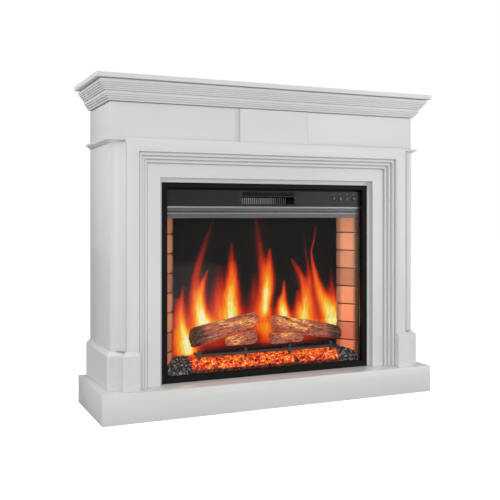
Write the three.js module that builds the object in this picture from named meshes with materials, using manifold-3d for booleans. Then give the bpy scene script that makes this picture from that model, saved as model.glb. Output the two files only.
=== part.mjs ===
// Electric fireplace: a free-standing lacquered mantel with a built-in LED flame insert.
// Millimetres. +X is the viewer's right, +Y points to the wall, +Z is up.
// The origin is on the floor, under the middle of the object's box.

import * as THREE from 'three';
import * as BufferGeometryUtils from 'three/addons/utils/BufferGeometryUtils.js';
import Module from 'manifold-3d';

const wasm = await Module();
wasm.setup();

// ---------------------------------------------------------------- driving dimensions

const GAP = 0.3;

// Mantel: outside sizes
const HEIGHT = 990;
const BACK_Y = 160;
const BOARD = 18;
const HEARTH_HALF_WIDTH = 553.5;
const HEARTH_FRONT_Y = -160;
const HEARTH_TOP_Z = 86;
const BODY_HALF_WIDTH = 516.5;
const BODY_FRONT_Y = -102;

// Stepped surround: a proud front panel, four small steps and an inner panel
const PANEL_HALF_WIDTH = 476.5;
const PANEL_FRONT_Y = -130;
const PANEL_TOP_Z = 810;
const STEP_COUNT = 4;
const STEP_WIDTH = 10;
const STEP_DEPTH = 7.5;
const FIRST_STEP_X = 438.5;
const OPENING_HALF_WIDTH = 365.5;
const SURROUND_BACK_Y = -78.6;
const MITRE_RISE = PANEL_TOP_Z - PANEL_HALF_WIDTH;

// Column corner, pedestal and astragal
const COVE_WIDTH = BODY_HALF_WIDTH - PANEL_HALF_WIDTH;
const COVE_DEPTH = BODY_FRONT_Y - PANEL_FRONT_Y;
const COVE_SEGMENTS = 10;
const PEDESTAL_INNER_X = 439;
const PEDESTAL_TOP_Z = 198;
const PEDESTAL_PROUD = 12.5;
const PEDESTAL_BEVEL_RISE = 11;
const PEDESTAL_BEVEL_PROUD = 2;
const ASTRAGAL_BASE_Z = 797;
const ASTRAGAL_TOP_Z = 809.5;
const ASTRAGAL_PROUD = 14;

// Frieze, crown and shelf
const FRIEZE_BLOCK_HALF_WIDTH = 116;
const FRIEZE_BLOCK_PROUD = 10;
const CROWN_BASE_Z = 914;
const CROWN_SPLIT_Z = 942;
const CROWN_TOP_Z = 973;
const CROWN_FILLET = 11;
const SHELF_THICKNESS = 14;
const SHELF_PROUD_FRONT = 46;
const SHELF_PROUD_SIDE = 50;
const SHADOW_GAP_PROUD = 30;
const LOWER_CROWN_PROUD = { foot: 4, top: 19 };
const UPPER_CROWN_PROUD = { foot: 20, top: 37 };

// Boards inside the mantel
const RAIL_INNER_X = 345;
const RAIL_OUTER_X = 470;
const RAIL_OVERLAP = 9;
const TOP_RAIL_TOP_Z = 790;
const REAR_RAIL_BASE_Z = 860;
const REAR_RAIL_TOP_Z = 960;

// Insert: front frame
const FRAME_HALF_WIDTH = 355.5;
const FRAME_FRONT_Y = -81;
const FRAME_BASE_Z = HEARTH_TOP_Z + GAP;
const FRAME_TOP_Z = 686;
const FRAME_BACK_Y = -62;
const FLANGE_THICKNESS = 2.4;
const WINDOW_HALF_WIDTH = 338.5;
const WINDOW_BASE_Z = 105;
const WINDOW_TOP_Z = 671;
const FRAME_RETURN = 3;

// Insert: what fills the frame
const FACE_FRONT_Y = -66;
const FACE_THICKNESS = 4;
const FASCIA_BASE_Z = 616.4;
const FASCIA_TOP_Z = 664.7;
const TRIM_BASE_Z = 609.3;
const TRIM_PROUD = 2;
const TRIM_BEVEL = 2.5;
const OUTLET_HALF_WIDTH = 99;
const OUTLET_BASE_Z = 619.5;
const OUTLET_TOP_Z = 662;
const FIN_PITCH = 7;
const GUARD_SLOTS = 26;
const GUARD_MOUTH_TOP_Z = 645;
const GUARD_BORDER = 3;
const GUARD_SLOT_HALF = 2.2;
const GUARD_SETBACK = 0.6;
const GUARD_THICKNESS = 2;
const BUTTON_RADIUS = 7;
const BUTTON_CLEARANCE = 0.4;
const BUTTON_PROUD = 1.6;
const BUTTON_COLLAR = { reach: 2, thickness: 1.5 };
const BUTTON_Z = 641.3;
const BUTTON_PITCH = 25.2;
const FIRST_BUTTON_X = 237.2;
const BUTTONS = ['power', 'flame', 'heat', 'timer'];

// Insert: casing and firebox
const CASING_HALF_WIDTH = 341.5;
const CASING_BACK_Y = 118;
const CASING_BASE_Z = 86.8;
const CASING_TOP_Z = 673.5;
const SHEET = 1.5;
const CEILING_Z = 612;
const WALL_FRONT_X = 337.8;
const WALL_FRONT_Y = -56.4;
const WALL_BACK_X = 290.2;
const WALL_BACK_Y = 10;
const WALL_END_THICKNESS = 9;
const WALL_SHOULDER_Y = -18;
const SCREEN_THICKNESS = 3;
const HEADER_FRONT_Y = -61.7;
const HEADER_BACK_Y = -56.7;
const HEADER_BASE_Z = 579;
const HEADER_GROOVE_Z = [596, 599];
const HEADER_GROOVE_DEPTH = 3;

// Insert: ember bed and grate. The bed's profile is [y, z] points, front foot first.
const BED_BASE_Z = 97;
const BED_BACK_Y = WALL_BACK_Y - 2;
const BED_TOP = [[-58, 106], [-51, 122], [-45, 134], [-30, 138.5], [BED_BACK_Y, 149]];
const BED_SIDE_GAP = 2;
const GRATE_BAR = { left: -228, right: 248, front: -41, back: -33, base: 150, top: 158 };
const GRATE_PRONGS = [-222, -66, 90, 242];
const GRATE_PRONG = { halfWidth: 4, base: 140, top: 170 };
const GRATE_BACK_Y = 6;

// Insert: rear cover and what is wired behind it
const VENT_BASE_Z = 632;
const VENT_PITCH = { x: 90, z: 12 };
const VENT_COUNT = { columns: 5, rows: 3 };
const VENT = { halfLength: 34, height: 5 };
const INLET = { x: -285, z: 128, halfWidth: 14, halfHeight: 10 };
const LED_BOARD = { halfLength: 260, base: 91, thickness: 1.6, pitch: 40 };
const CONTROL_BOARD = { left: 200, right: 330, front: -55, back: -52.5, base: 618, top: 666 };

// Insert: fan heater and moving pieces
const HEATER = { count: 27, front: -4, back: 12, base: 619, top: 643, spine: 3, halfThickness: 0.8 };
const HOUSING_HALF_LENGTH = 102;
const WHEEL_AXIS = { y: 56, z: 642 };
const WHEEL_RADIUS = 19;
const WHEEL_HALF_LENGTH = 96;
const SPINDLE_AXIS = { y: 84, z: 172 };
const SPINDLE_HALF_LENGTH = 282;
const SPINDLE_FOIL = { count: 18, halfLength: 11, halfWidth: 22, turn: 0.7, margin: 15 };

const ROUND_SIDES = 24;

// ---------------------------------------------------------------- finishes

const finish = (color, roughness, metalness) => ({ color, roughness, metalness });

const WHITE_LACQUER = finish(0xe6e7e4, 0.35, 0);
const RAW_BOARD = finish(0xd8d2c4, 0.8, 0);
const BLACK_STEEL = finish(0x1b1b1c, 0.35, 0.3);
const GREY_STEEL = finish(0x54565a, 0.4, 0.6);
const BRIGHT_TRIM = finish(0x9a9b9d, 0.3, 0.9);
const SMOKED_GLASS = finish(0x202226, 0.05, 0);
const FLAME_FILM = finish(0x2a0d04, 0.5, 0);
const BRICK = finish(0xb9795c, 0.8, 0);
const LOG_BARK = finish(0x6b3a22, 0.8, 0);
const EMBERS = finish(0xd23d0e, 0.7, 0);
const CAST_IRON = finish(0x2c2c2b, 0.7, 0.4);
const GALVANISED = finish(0x8d9195, 0.5, 0.8);
const DARK_PLASTIC = finish(0x232326, 0.6, 0);
const CIRCUIT = finish(0x1f5a37, 0.6, 0);

// ---------------------------------------------------------------- making shapes

const group = new THREE.Group();

function addPart(name, geometry, look) {
  const mesh = new THREE.Mesh(geometry, new THREE.MeshStandardMaterial(look));
  mesh.name = name;
  group.add(mesh);
}

/** A box from its lowest to its highest corner. */
function box(low, high) {
  const size = low.map((value, axis) => high[axis] - value);
  const middle = low.map((value, axis) => (high[axis] + value) / 2);
  return new THREE.BoxGeometry(...size).translate(...middle);
}

/** Six times the signed volume that an indexed surface encloses. */
function signedVolume(points, index) {
  let total = 0;
  const [a, b, c] = [new THREE.Vector3(), new THREE.Vector3(), new THREE.Vector3()];
  for (let i = 0; i < index.length; i += 3) {
    a.set(...points[index[i]]);
    b.set(...points[index[i + 1]]);
    c.set(...points[index[i + 2]]);
    total += a.dot(b.cross(c));
  }
  return total;
}

/** Triangles of a ring's flat end, turning the same way as the ring does. */
function capTriangles(ring, axis) {
  const flat = ring.map((p) => new THREE.Vector2(p[(axis + 1) % 3], p[(axis + 2) % 3]));
  const ringTurn = Math.sign(THREE.ShapeUtils.area(flat));
  return THREE.ShapeUtils.triangulateShape(flat, []).map((triangle) => {
    const turn = Math.sign(THREE.ShapeUtils.area(triangle.map((i) => flat[i])));
    return turn === ringTurn ? triangle : [...triangle].reverse();
  });
}

/** A closed solid through rings of equally many points that follow each other along an axis. */
function loft(rings, axis) {
  const count = rings[0].length;
  const points = rings.flat();
  const index = [];
  for (let r = 0; r < rings.length - 1; r += 1) {
    for (let i = 0; i < count; i += 1) {
      const a = r * count + i;
      const b = r * count + ((i + 1) % count);
      index.push(a, b, b + count, a, b + count, a + count);
    }
  }
  const last = (rings.length - 1) * count;
  for (const [i, j, k] of capTriangles(rings[0], axis)) {
    index.push(i, k, j);
    index.push(last + i, last + j, last + k);
  }
  if (signedVolume(points, index) < 0) {
    index.reverse();
  }
  const geometry = new THREE.BufferGeometry();
  geometry.setAttribute('position', new THREE.Float32BufferAttribute(points.flat(), 3));
  geometry.setIndex(index);
  return geometry;
}

/** Plan outlines stacked from z to z: each profile entry is [z, how far it stands proud]. */
function stack(planAt, profile, side = 1) {
  const rings = profile.map(([z, proud]) => planAt(proud).map(([x, y]) => [side * x, y, z]));
  return loft(rings, 2);
}

/** An upright plate: a Shape drawn in X and Z, its front at y, growing towards the wall. */
function frontPlate(shape, y, thickness) {
  const settings = { depth: thickness, bevelEnabled: false, curveSegments: ROUND_SIDES / 2 };
  const geometry = new THREE.ExtrudeGeometry(shape, settings);
  return geometry.rotateX(Math.PI / 2).translate(0, y + thickness, 0);
}

function rectangle(x0, z0, x1, z1) {
  const corners = [[x0, z0], [x1, z0], [x1, z1], [x0, z1]];
  return corners.map(([x, z]) => new THREE.Vector2(x, z));
}

function plateShape(outline, holes) {
  const shape = new THREE.Shape(outline);
  for (const hole of holes) {
    shape.holes.push(hole instanceof THREE.Path ? hole : new THREE.Path(hole));
  }
  return shape;
}

/** A profile in Y and Z, run along X from x0 to x1. */
function runAlongX(profile, x0, x1) {
  return loft([x0, x1].map((x) => profile.map(([y, z]) => [x, y, z])), 0);
}

/** A round piece on an X axis: profile entries are [radius, x]. */
function turnedOnX(profile, y, z) {
  const points = profile.map(([radius, x]) => new THREE.Vector2(radius, x));
  return new THREE.LatheGeometry(points, ROUND_SIDES).rotateZ(-Math.PI / 2).translate(0, y, z);
}

/** The profile of a plain rod or disc from x0 to x1. */
function rod(radius, x0, x1) {
  return [[0, x0], [radius, x0], [radius, x1], [0, x1]];
}

/** The solid that a closed surface encloses. */
function solidOf(geometry) {
  const bare = geometry.clone();
  bare.deleteAttribute('normal');
  bare.deleteAttribute('uv');
  const merged = BufferGeometryUtils.mergeVertices(bare, 1e-4);
  const vertProperties = new Float32Array(merged.attributes.position.array);
  const triVerts = new Uint32Array(merged.index.array);
  return new wasm.Manifold(new wasm.Mesh({ numProp: 3, vertProperties, triVerts }));
}

function geometryOf(solid) {
  const { vertProperties, triVerts } = solid.getMesh();
  const geometry = new THREE.BufferGeometry();
  geometry.setAttribute('position', new THREE.BufferAttribute(vertProperties, 3));
  geometry.setIndex(new THREE.BufferAttribute(triVerts, 1));
  return geometry;
}

function join(geometries) {
  return geometryOf(geometries.map(solidOf).reduce((whole, piece) => whole.add(piece)));
}

function cut(geometry, cutters) {
  return geometryOf(cutters.map(solidOf).reduce((whole, tool) => whole.subtract(tool), solidOf(geometry)));
}

/** An upright sheet from low to high, punched right through: each hole is [x0, z0, x1, z1]. */
function punchedSheet(low, high, holes) {
  const punches = holes.map(([x0, z0, x1, z1]) => box([x0, low[1] - 1, z0], [x1, high[1] + 1, z1]));
  return cut(box(low, high), punches);
}

const SIDES = [['left', -1], ['right', 1]];

// ---------------------------------------------------------------- mantel: hearth

function addHearth() {
  const underTop = HEARTH_TOP_Z - BOARD - GAP;
  const inner = HEARTH_HALF_WIDTH - BOARD;
  addPart('hearth_top_board', box(
    [-HEARTH_HALF_WIDTH, HEARTH_FRONT_Y, HEARTH_TOP_Z - BOARD],
    [HEARTH_HALF_WIDTH, BACK_Y, HEARTH_TOP_Z],
  ), WHITE_LACQUER);
  addPart('hearth_front_board', box(
    [-HEARTH_HALF_WIDTH, HEARTH_FRONT_Y, 0],
    [HEARTH_HALF_WIDTH, HEARTH_FRONT_Y + BOARD, underTop],
  ), WHITE_LACQUER);
  for (const [word, side] of SIDES) {
    const [x0, x1] = [side * inner, side * HEARTH_HALF_WIDTH].sort((a, b) => a - b);
    const front = HEARTH_FRONT_Y + BOARD + GAP;
    addPart(`hearth_side_${word}`, box([x0, front, 0], [x1, BACK_Y, underTop]), WHITE_LACQUER);
  }
}

// ---------------------------------------------------------------- mantel: stepped surround

/** Corner points of the steps: [distance out from the opening, y], opening first. */
function surroundProfile() {
  const points = [[OPENING_HALF_WIDTH, PANEL_FRONT_Y + STEP_COUNT * STEP_DEPTH]];
  for (let step = STEP_COUNT; step > 0; step -= 1) {
    const x = FIRST_STEP_X - (step - 1) * STEP_WIDTH;
    points.push([x, PANEL_FRONT_Y + step * STEP_DEPTH]);
    points.push([x, PANEL_FRONT_Y + (step - 1) * STEP_DEPTH]);
  }
  points.push([PANEL_HALF_WIDTH, PANEL_FRONT_Y]);
  points.push([PANEL_HALF_WIDTH, SURROUND_BACK_Y]);
  points.push([OPENING_HALF_WIDTH, SURROUND_BACK_Y]);
  return points;
}

function addSurround() {
  const profile = surroundProfile();
  for (const [word, side] of SIDES) {
    const foot = profile.map(([x, y]) => [side * x, y, HEARTH_TOP_Z + GAP]);
    const mitre = profile.map(([x, y]) => [side * x, y, x + MITRE_RISE - GAP]);
    addPart(`surround_jamb_${word}`, loft([foot, mitre], 2), WHITE_LACQUER);
  }
  const ends = [-1, 1].map((side) => profile.map(([x, y]) => [side * x, y, x + MITRE_RISE]));
  addPart('surround_lintel', loft(ends, 0), WHITE_LACQUER);
}

// ---------------------------------------------------------------- mantel: columns

/** Points of the hollow corner, from the front panel round to the side, standing proud. */
function coveArc(proud, segments) {
  const points = [];
  for (let i = 0; i <= segments; i += 1) {
    const angle = (i / segments) * (Math.PI / 2);
    const x = BODY_HALF_WIDTH - (COVE_WIDTH - proud) * Math.cos(angle);
    const y = PANEL_FRONT_Y + (COVE_DEPTH - proud) * Math.sin(angle);
    points.push([x, y]);
  }
  return points;
}

function columnCovePlan() {
  const arc = coveArc(GAP + 0.5, COVE_SEGMENTS);
  const back = BODY_FRONT_Y - GAP;
  const inner = PANEL_HALF_WIDTH + GAP;
  return [...arc, [BODY_HALF_WIDTH, back], [inner, back], [inner, PANEL_FRONT_Y]];
}

/** A wrap round the foot of a column: its outside stands proud, its inside hugs the column. */
function pedestalPlan(proud) {
  const outside = [
    [PEDESTAL_INNER_X, PANEL_FRONT_Y - proud],
    [PANEL_HALF_WIDTH + proud, PANEL_FRONT_Y - proud],
    ...coveArc(proud, COVE_SEGMENTS),
    [BODY_HALF_WIDTH + proud, BODY_FRONT_Y - proud],
    [BODY_HALF_WIDTH + proud, BACK_Y],
  ];
  const inside = [
    [BODY_HALF_WIDTH + GAP, BACK_Y],
    ...coveArc(GAP + 0.8, COVE_SEGMENTS).reverse(),
    [PANEL_HALF_WIDTH + GAP, PANEL_FRONT_Y - GAP],
    [PEDESTAL_INNER_X, PANEL_FRONT_Y - GAP],
  ];
  return [...outside, ...inside];
}

/** A wrap along the side of the body, turning a short way across its front. */
function astragalPlan(proud) {
  return [
    [PANEL_HALF_WIDTH + GAP, BODY_FRONT_Y - GAP],
    [PANEL_HALF_WIDTH + GAP, BODY_FRONT_Y - proud],
    [BODY_HALF_WIDTH + proud, BODY_FRONT_Y - proud],
    [BODY_HALF_WIDTH + proud, BACK_Y],
    [BODY_HALF_WIDTH + GAP, BACK_Y],
    [BODY_HALF_WIDTH + GAP, BODY_FRONT_Y - GAP],
  ];
}

const ASTRAGAL_PROFILE = [
  [ASTRAGAL_BASE_Z, 4],
  [ASTRAGAL_BASE_Z + 2, 4.6],
  [ASTRAGAL_BASE_Z + 4, 6.4],
  [ASTRAGAL_BASE_Z + 5.6, 9.4],
  [ASTRAGAL_BASE_Z + 6.4, ASTRAGAL_PROUD],
  [ASTRAGAL_TOP_Z, ASTRAGAL_PROUD],
];

function addColumns() {
  const foot = HEARTH_TOP_Z + GAP;
  const pedestalProfile = [
    [foot, PEDESTAL_PROUD],
    [PEDESTAL_TOP_Z - PEDESTAL_BEVEL_RISE, PEDESTAL_PROUD],
    [PEDESTAL_TOP_Z, PEDESTAL_BEVEL_PROUD],
  ];
  const shelfUnderside = HEIGHT - SHELF_THICKNESS - GAP;
  for (const [word, side] of SIDES) {
    const coveProfile = [[foot, 0], [ASTRAGAL_BASE_Z - GAP, 0]];
    addPart(`column_cove_${word}`, stack(columnCovePlan, coveProfile, side), WHITE_LACQUER);
    addPart(`pedestal_${word}`, stack(pedestalPlan, pedestalProfile, side), WHITE_LACQUER);
    addPart(`astragal_${word}`, stack(astragalPlan, ASTRAGAL_PROFILE, side), WHITE_LACQUER);
    const [x0, x1] = [side * (BODY_HALF_WIDTH - BOARD), side * BODY_HALF_WIDTH].sort((a, b) => a - b);
    const panel = box([x0, BODY_FRONT_Y, foot], [x1, BACK_Y, shelfUnderside]);
    addPart(`side_panel_${word}`, panel, WHITE_LACQUER);
  }
}

// ---------------------------------------------------------------- mantel: frieze, crown, shelf

/** A three-sided wrap round the body: left side, front and right side. */
function crownPlan(proud) {
  const [out, front] = [BODY_HALF_WIDTH + proud, BODY_FRONT_Y - proud];
  const [hug, hugFront] = [BODY_HALF_WIDTH + GAP, BODY_FRONT_Y - GAP];
  return [
    [-out, BACK_Y], [-out, front], [out, front], [out, BACK_Y],
    [hug, BACK_Y], [hug, hugFront], [-hug, hugFront], [-hug, BACK_Y],
  ];
}

/** Profile of a hollow under a square fillet, from its foot to its top. */
function hollowAndFillet(base, top, proud) {
  const segments = 6;
  const rise = top - base - CROWN_FILLET;
  const reach = proud.top - 1.5 - proud.foot;
  const profile = [];
  for (let i = 0; i <= segments; i += 1) {
    const angle = (i / segments) * (Math.PI / 2);
    const z = base + rise * Math.sin(angle);
    profile.push([z, proud.foot + reach * (1 - Math.cos(angle))]);
  }
  profile.push([base + rise + 0.4, proud.top]);
  profile.push([top, proud.top]);
  return profile;
}

function addTop() {
  const shelfBase = HEIGHT - SHELF_THICKNESS;
  const inner = BODY_HALF_WIDTH - BOARD - GAP;
  const friezeBase = PANEL_TOP_Z + GAP;
  addPart('frieze_board', box(
    [-inner, BODY_FRONT_Y, friezeBase],
    [inner, BODY_FRONT_Y + BOARD, shelfBase - GAP],
  ), WHITE_LACQUER);
  addPart('frieze_centre_block', box(
    [-FRIEZE_BLOCK_HALF_WIDTH, BODY_FRONT_Y - FRIEZE_BLOCK_PROUD, friezeBase],
    [FRIEZE_BLOCK_HALF_WIDTH, BODY_FRONT_Y - GAP, CROWN_BASE_Z - GAP],
  ), WHITE_LACQUER);
  const lower = hollowAndFillet(CROWN_BASE_Z, CROWN_SPLIT_Z, LOWER_CROWN_PROUD);
  addPart('crown_lower_moulding', stack(crownPlan, lower), WHITE_LACQUER);
  const upper = hollowAndFillet(CROWN_SPLIT_Z + GAP, CROWN_TOP_Z, UPPER_CROWN_PROUD);
  upper.push([CROWN_TOP_Z + 0.4, SHADOW_GAP_PROUD], [shelfBase - GAP, SHADOW_GAP_PROUD]);
  addPart('crown_upper_moulding', stack(crownPlan, upper), WHITE_LACQUER);
  addPart('mantel_shelf', box(
    [-BODY_HALF_WIDTH - SHELF_PROUD_SIDE, BODY_FRONT_Y - SHELF_PROUD_FRONT, shelfBase],
    [BODY_HALF_WIDTH + SHELF_PROUD_SIDE, BACK_Y, HEIGHT],
  ), WHITE_LACQUER);
}

// ---------------------------------------------------------------- mantel: inner rails

function addRails() {
  const front = SURROUND_BACK_Y + GAP;
  const back = front + BOARD;
  const topRailBase = FRAME_TOP_Z - RAIL_OVERLAP;
  for (const [word, side] of SIDES) {
    const [x0, x1] = [side * RAIL_INNER_X, side * RAIL_OUTER_X].sort((a, b) => a - b);
    const rail = box([x0, front, HEARTH_TOP_Z + GAP], [x1, back, topRailBase - GAP]);
    addPart(`insert_rail_${word}`, rail, WHITE_LACQUER);
  }
  addPart('insert_rail_top', box(
    [-RAIL_OUTER_X, front, topRailBase],
    [RAIL_OUTER_X, back, TOP_RAIL_TOP_Z],
  ), WHITE_LACQUER);
  const reach = BODY_HALF_WIDTH - BOARD - GAP;
  addPart('rear_rail', box(
    [-reach, BACK_Y - BOARD, REAR_RAIL_BASE_Z],
    [reach, BACK_Y, REAR_RAIL_TOP_Z],
  ), RAW_BOARD);
}

// ---------------------------------------------------------------- insert: front frame and face

function addFrontFrame() {
  const window = rectangle(-WINDOW_HALF_WIDTH, WINDOW_BASE_Z, WINDOW_HALF_WIDTH, WINDOW_TOP_Z);
  const flangeOutline = rectangle(-FRAME_HALF_WIDTH, FRAME_BASE_Z, FRAME_HALF_WIDTH, FRAME_TOP_Z);
  const flange = frontPlate(plateShape(flangeOutline, [window]), FRAME_FRONT_Y, FLANGE_THICKNESS);
  const returnOutline = rectangle(
    -WINDOW_HALF_WIDTH - FRAME_RETURN,
    WINDOW_BASE_Z - FRAME_RETURN,
    WINDOW_HALF_WIDTH + FRAME_RETURN,
    WINDOW_TOP_Z + FRAME_RETURN,
  );
  const returnFront = FRAME_FRONT_Y + FLANGE_THICKNESS / 2;
  const returnDepth = FRAME_BACK_Y - returnFront;
  const returned = frontPlate(plateShape(returnOutline, [window]), returnFront, returnDepth);
  addPart('front_frame', join([flange, returned]), BLACK_STEEL);
}

function buttonX(index) {
  return FIRST_BUTTON_X + index * BUTTON_PITCH;
}

function addFascia() {
  const reach = WINDOW_HALF_WIDTH - GAP;
  const outlet = rectangle(-OUTLET_HALF_WIDTH, OUTLET_BASE_Z, OUTLET_HALF_WIDTH, OUTLET_TOP_Z);
  const buttonHoles = [...BUTTONS.keys()].map((index) => {
    const hole = new THREE.Path();
    hole.absarc(buttonX(index), BUTTON_Z, BUTTON_RADIUS + BUTTON_CLEARANCE, 0, 2 * Math.PI);
    return hole;
  });
  const outline = rectangle(-reach, FASCIA_BASE_Z, reach, FASCIA_TOP_Z);
  const fascia = frontPlate(plateShape(outline, [outlet, ...buttonHoles]), FACE_FRONT_Y, FACE_THICKNESS);
  addPart('control_fascia', fascia, BLACK_STEEL);

  const [front, back] = [FACE_FRONT_Y - TRIM_PROUD, FACE_FRONT_Y + FACE_THICKNESS];
  const top = FASCIA_BASE_Z - GAP;
  const trimProfile = [
    [back, TRIM_BASE_Z],
    [back, top],
    [FACE_FRONT_Y, top],
    [front, top - TRIM_BEVEL],
    [front, TRIM_BASE_Z],
  ];
  addPart('outlet_trim', runAlongX(trimProfile, -reach, reach), BRIGHT_TRIM);
}

/** The finger guard in the outlet: a row of slots over one wide mouth. */
function addOutletGuard() {
  const reach = OUTLET_HALF_WIDTH - GAP;
  const front = FACE_FRONT_Y + GUARD_SETBACK;
  const mouthReach = reach - GUARD_BORDER;
  const holes = [[-mouthReach, OUTLET_BASE_Z + GUARD_BORDER, mouthReach, GUARD_MOUTH_TOP_Z]];
  const [slotBase, slotTop] = [GUARD_MOUTH_TOP_Z + 3.5, OUTLET_TOP_Z - 2];
  for (let i = 0; i < GUARD_SLOTS; i += 1) {
    const middle = (i - (GUARD_SLOTS - 1) / 2) * FIN_PITCH;
    holes.push([middle - GUARD_SLOT_HALF, slotBase, middle + GUARD_SLOT_HALF, slotTop]);
  }
  const low = [-reach, front, OUTLET_BASE_Z + GAP];
  const high = [reach, front + GUARD_THICKNESS, OUTLET_TOP_Z - GAP];
  addPart('outlet_guard', punchedSheet(low, high, holes), BLACK_STEEL);
}

/** A sprung key: a round cap in front of the fascia and a wider collar behind it. */
function addButtons() {
  const bevel = 0.8;
  const capFront = FACE_FRONT_Y - BUTTON_PROUD;
  const collarFront = FACE_FRONT_Y + FACE_THICKNESS + GAP;
  const collarBack = collarFront + BUTTON_COLLAR.thickness;
  const collarRadius = BUTTON_RADIUS + BUTTON_COLLAR.reach;
  const profile = [
    [0, capFront],
    [BUTTON_RADIUS - bevel, capFront],
    [BUTTON_RADIUS, capFront + bevel],
    [BUTTON_RADIUS, collarFront],
    [collarRadius, collarFront],
    [collarRadius, collarBack],
    [0, collarBack],
  ];
  const points = profile.map(([radius, y]) => new THREE.Vector2(radius, y));
  BUTTONS.forEach((word, index) => {
    const cap = new THREE.LatheGeometry(points, ROUND_SIDES).translate(buttonX(index), 0, BUTTON_Z);
    addPart(`button_${word}`, cap, DARK_PLASTIC);
  });
}

function addGlass() {
  const reach = WINDOW_HALF_WIDTH - GAP;
  addPart('glass_pane', box(
    [-reach, FACE_FRONT_Y, WINDOW_BASE_Z + GAP],
    [reach, FACE_FRONT_Y + FACE_THICKNESS, TRIM_BASE_Z - GAP],
  ), SMOKED_GLASS);
}

// ---------------------------------------------------------------- insert: firebox

/** How far out the splayed side wall stands at depth y. */
function wallX(y) {
  const share = (y - WALL_FRONT_Y) / (WALL_BACK_Y - WALL_FRONT_Y);
  return WALL_FRONT_X + share * (WALL_BACK_X - WALL_FRONT_X);
}

function addFireboxLining() {
  const casingInside = CASING_HALF_WIDTH - SHEET - GAP;
  const wallPlan = () => [
    [WALL_FRONT_X, WALL_FRONT_Y],
    [WALL_BACK_X, WALL_BACK_Y],
    [WALL_BACK_X + WALL_END_THICKNESS, WALL_BACK_Y],
    [casingInside, WALL_SHOULDER_Y],
    [casingInside, WALL_FRONT_Y],
  ];
  const wallBase = CASING_BASE_Z + SHEET + 1;
  for (const [word, side] of SIDES) {
    const wall = stack(wallPlan, [[wallBase, 0], [CEILING_Z - GAP, 0]], side);
    addPart(`brick_wall_${word}`, wall, BRICK);
  }
  addPart('flame_screen', box(
    [-casingInside, WALL_BACK_Y + GAP, wallBase],
    [casingInside, WALL_BACK_Y + GAP + SCREEN_THICKNESS, CEILING_Z - GAP],
  ), FLAME_FILM);
  addPart('firebox_ceiling', box(
    [-casingInside, FRAME_BACK_Y + GAP, CEILING_Z],
    [casingInside, CASING_BACK_Y - GAP, CEILING_Z + SHEET],
  ), BLACK_STEEL);
}

/** The folded sheet across the top of the window, with a groove along it. */
function addHeader() {
  const top = CEILING_Z - GAP;
  const [grooveBase, grooveTop] = HEADER_GROOVE_Z;
  const grooveY = HEADER_FRONT_Y + HEADER_GROOVE_DEPTH;
  const profile = [
    [HEADER_BACK_Y, HEADER_BASE_Z],
    [HEADER_BACK_Y, top],
    [HEADER_FRONT_Y, top],
    [HEADER_FRONT_Y, grooveTop],
    [grooveY, grooveTop],
    [grooveY, grooveBase],
    [HEADER_FRONT_Y, grooveBase],
    [HEADER_FRONT_Y, HEADER_BASE_Z],
  ];
  const reach = WINDOW_HALF_WIDTH - GAP;
  addPart('firebox_header', runAlongX(profile, -reach, reach), GREY_STEEL);
}

/** A low bank of embers, its top rising to the back, its ends along the splayed walls. */
function addEmberBed() {
  const profile = [[BED_TOP[0][0], BED_BASE_Z], ...BED_TOP, [BED_BACK_Y, BED_BASE_Z]];
  const reach = (y) => Math.min(wallX(y), WALL_FRONT_X) - BED_SIDE_GAP;
  const ends = [-1, 1].map((side) => profile.map(([y, z]) => [side * reach(y), y, z]));
  addPart('ember_bed', loft(ends, 0), EMBERS);
}

/** A tapered log: rings of points round a straight line from one end to the other. */
function logBetween(start, end, radiusStart, radiusEnd) {
  const sides = 12;
  const steps = 4;
  const rings = [];
  for (let step = 0; step <= steps; step += 1) {
    const share = step / steps;
    const centre = start.map((value, axis) => value + share * (end[axis] - value));
    const radius = radiusStart + share * (radiusEnd - radiusStart);
    const ring = [];
    for (let i = 0; i < sides; i += 1) {
      const angle = (i / sides) * 2 * Math.PI;
      const knot = 1 + 0.05 * Math.sin(3 * angle + 2 * step);
      const y = centre[1] + radius * knot * Math.cos(angle);
      const z = centre[2] + radius * knot * Math.sin(angle);
      ring.push([centre[0], y, z]);
    }
    rings.push(ring);
  }
  return loft(rings, 0);
}

const LOGS = {
  log_back_left: [[-240, -23.5, 210], [-22, -16, 254], 31, 24],
  log_front_left: [[-134, -42, 193], [-34, -37.5, 202], 13, 22],
  log_back_right: [[40, -18.5, 241], [286, -14, 193], 26, 22],
  log_front_right: [[20, -40, 194], [132, -45, 191], 18.5, 13],
};

function addLogs() {
  for (const [name, [start, end, radiusStart, radiusEnd]] of Object.entries(LOGS)) {
    addPart(name, logBetween(start, end, radiusStart, radiusEnd), LOG_BARK);
  }
}

/** A cross bar with upright prongs, each with an arm back under the logs. */
function addGrate() {
  const { left, right, front, back, base, top } = GRATE_BAR;
  const pieces = [box([left, front, base], [right, back, top])];
  for (const x of GRATE_PRONGS) {
    const [x0, x1] = [x - GRATE_PRONG.halfWidth, x + GRATE_PRONG.halfWidth];
    pieces.push(box([x0, front, GRATE_PRONG.base], [x1, back, GRATE_PRONG.top]));
    pieces.push(box([x0, back - 1, base], [x1, GRATE_BACK_Y, top]));
  }
  addPart('log_grate', join(pieces), CAST_IRON);
}

// ---------------------------------------------------------------- insert: casing

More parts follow.
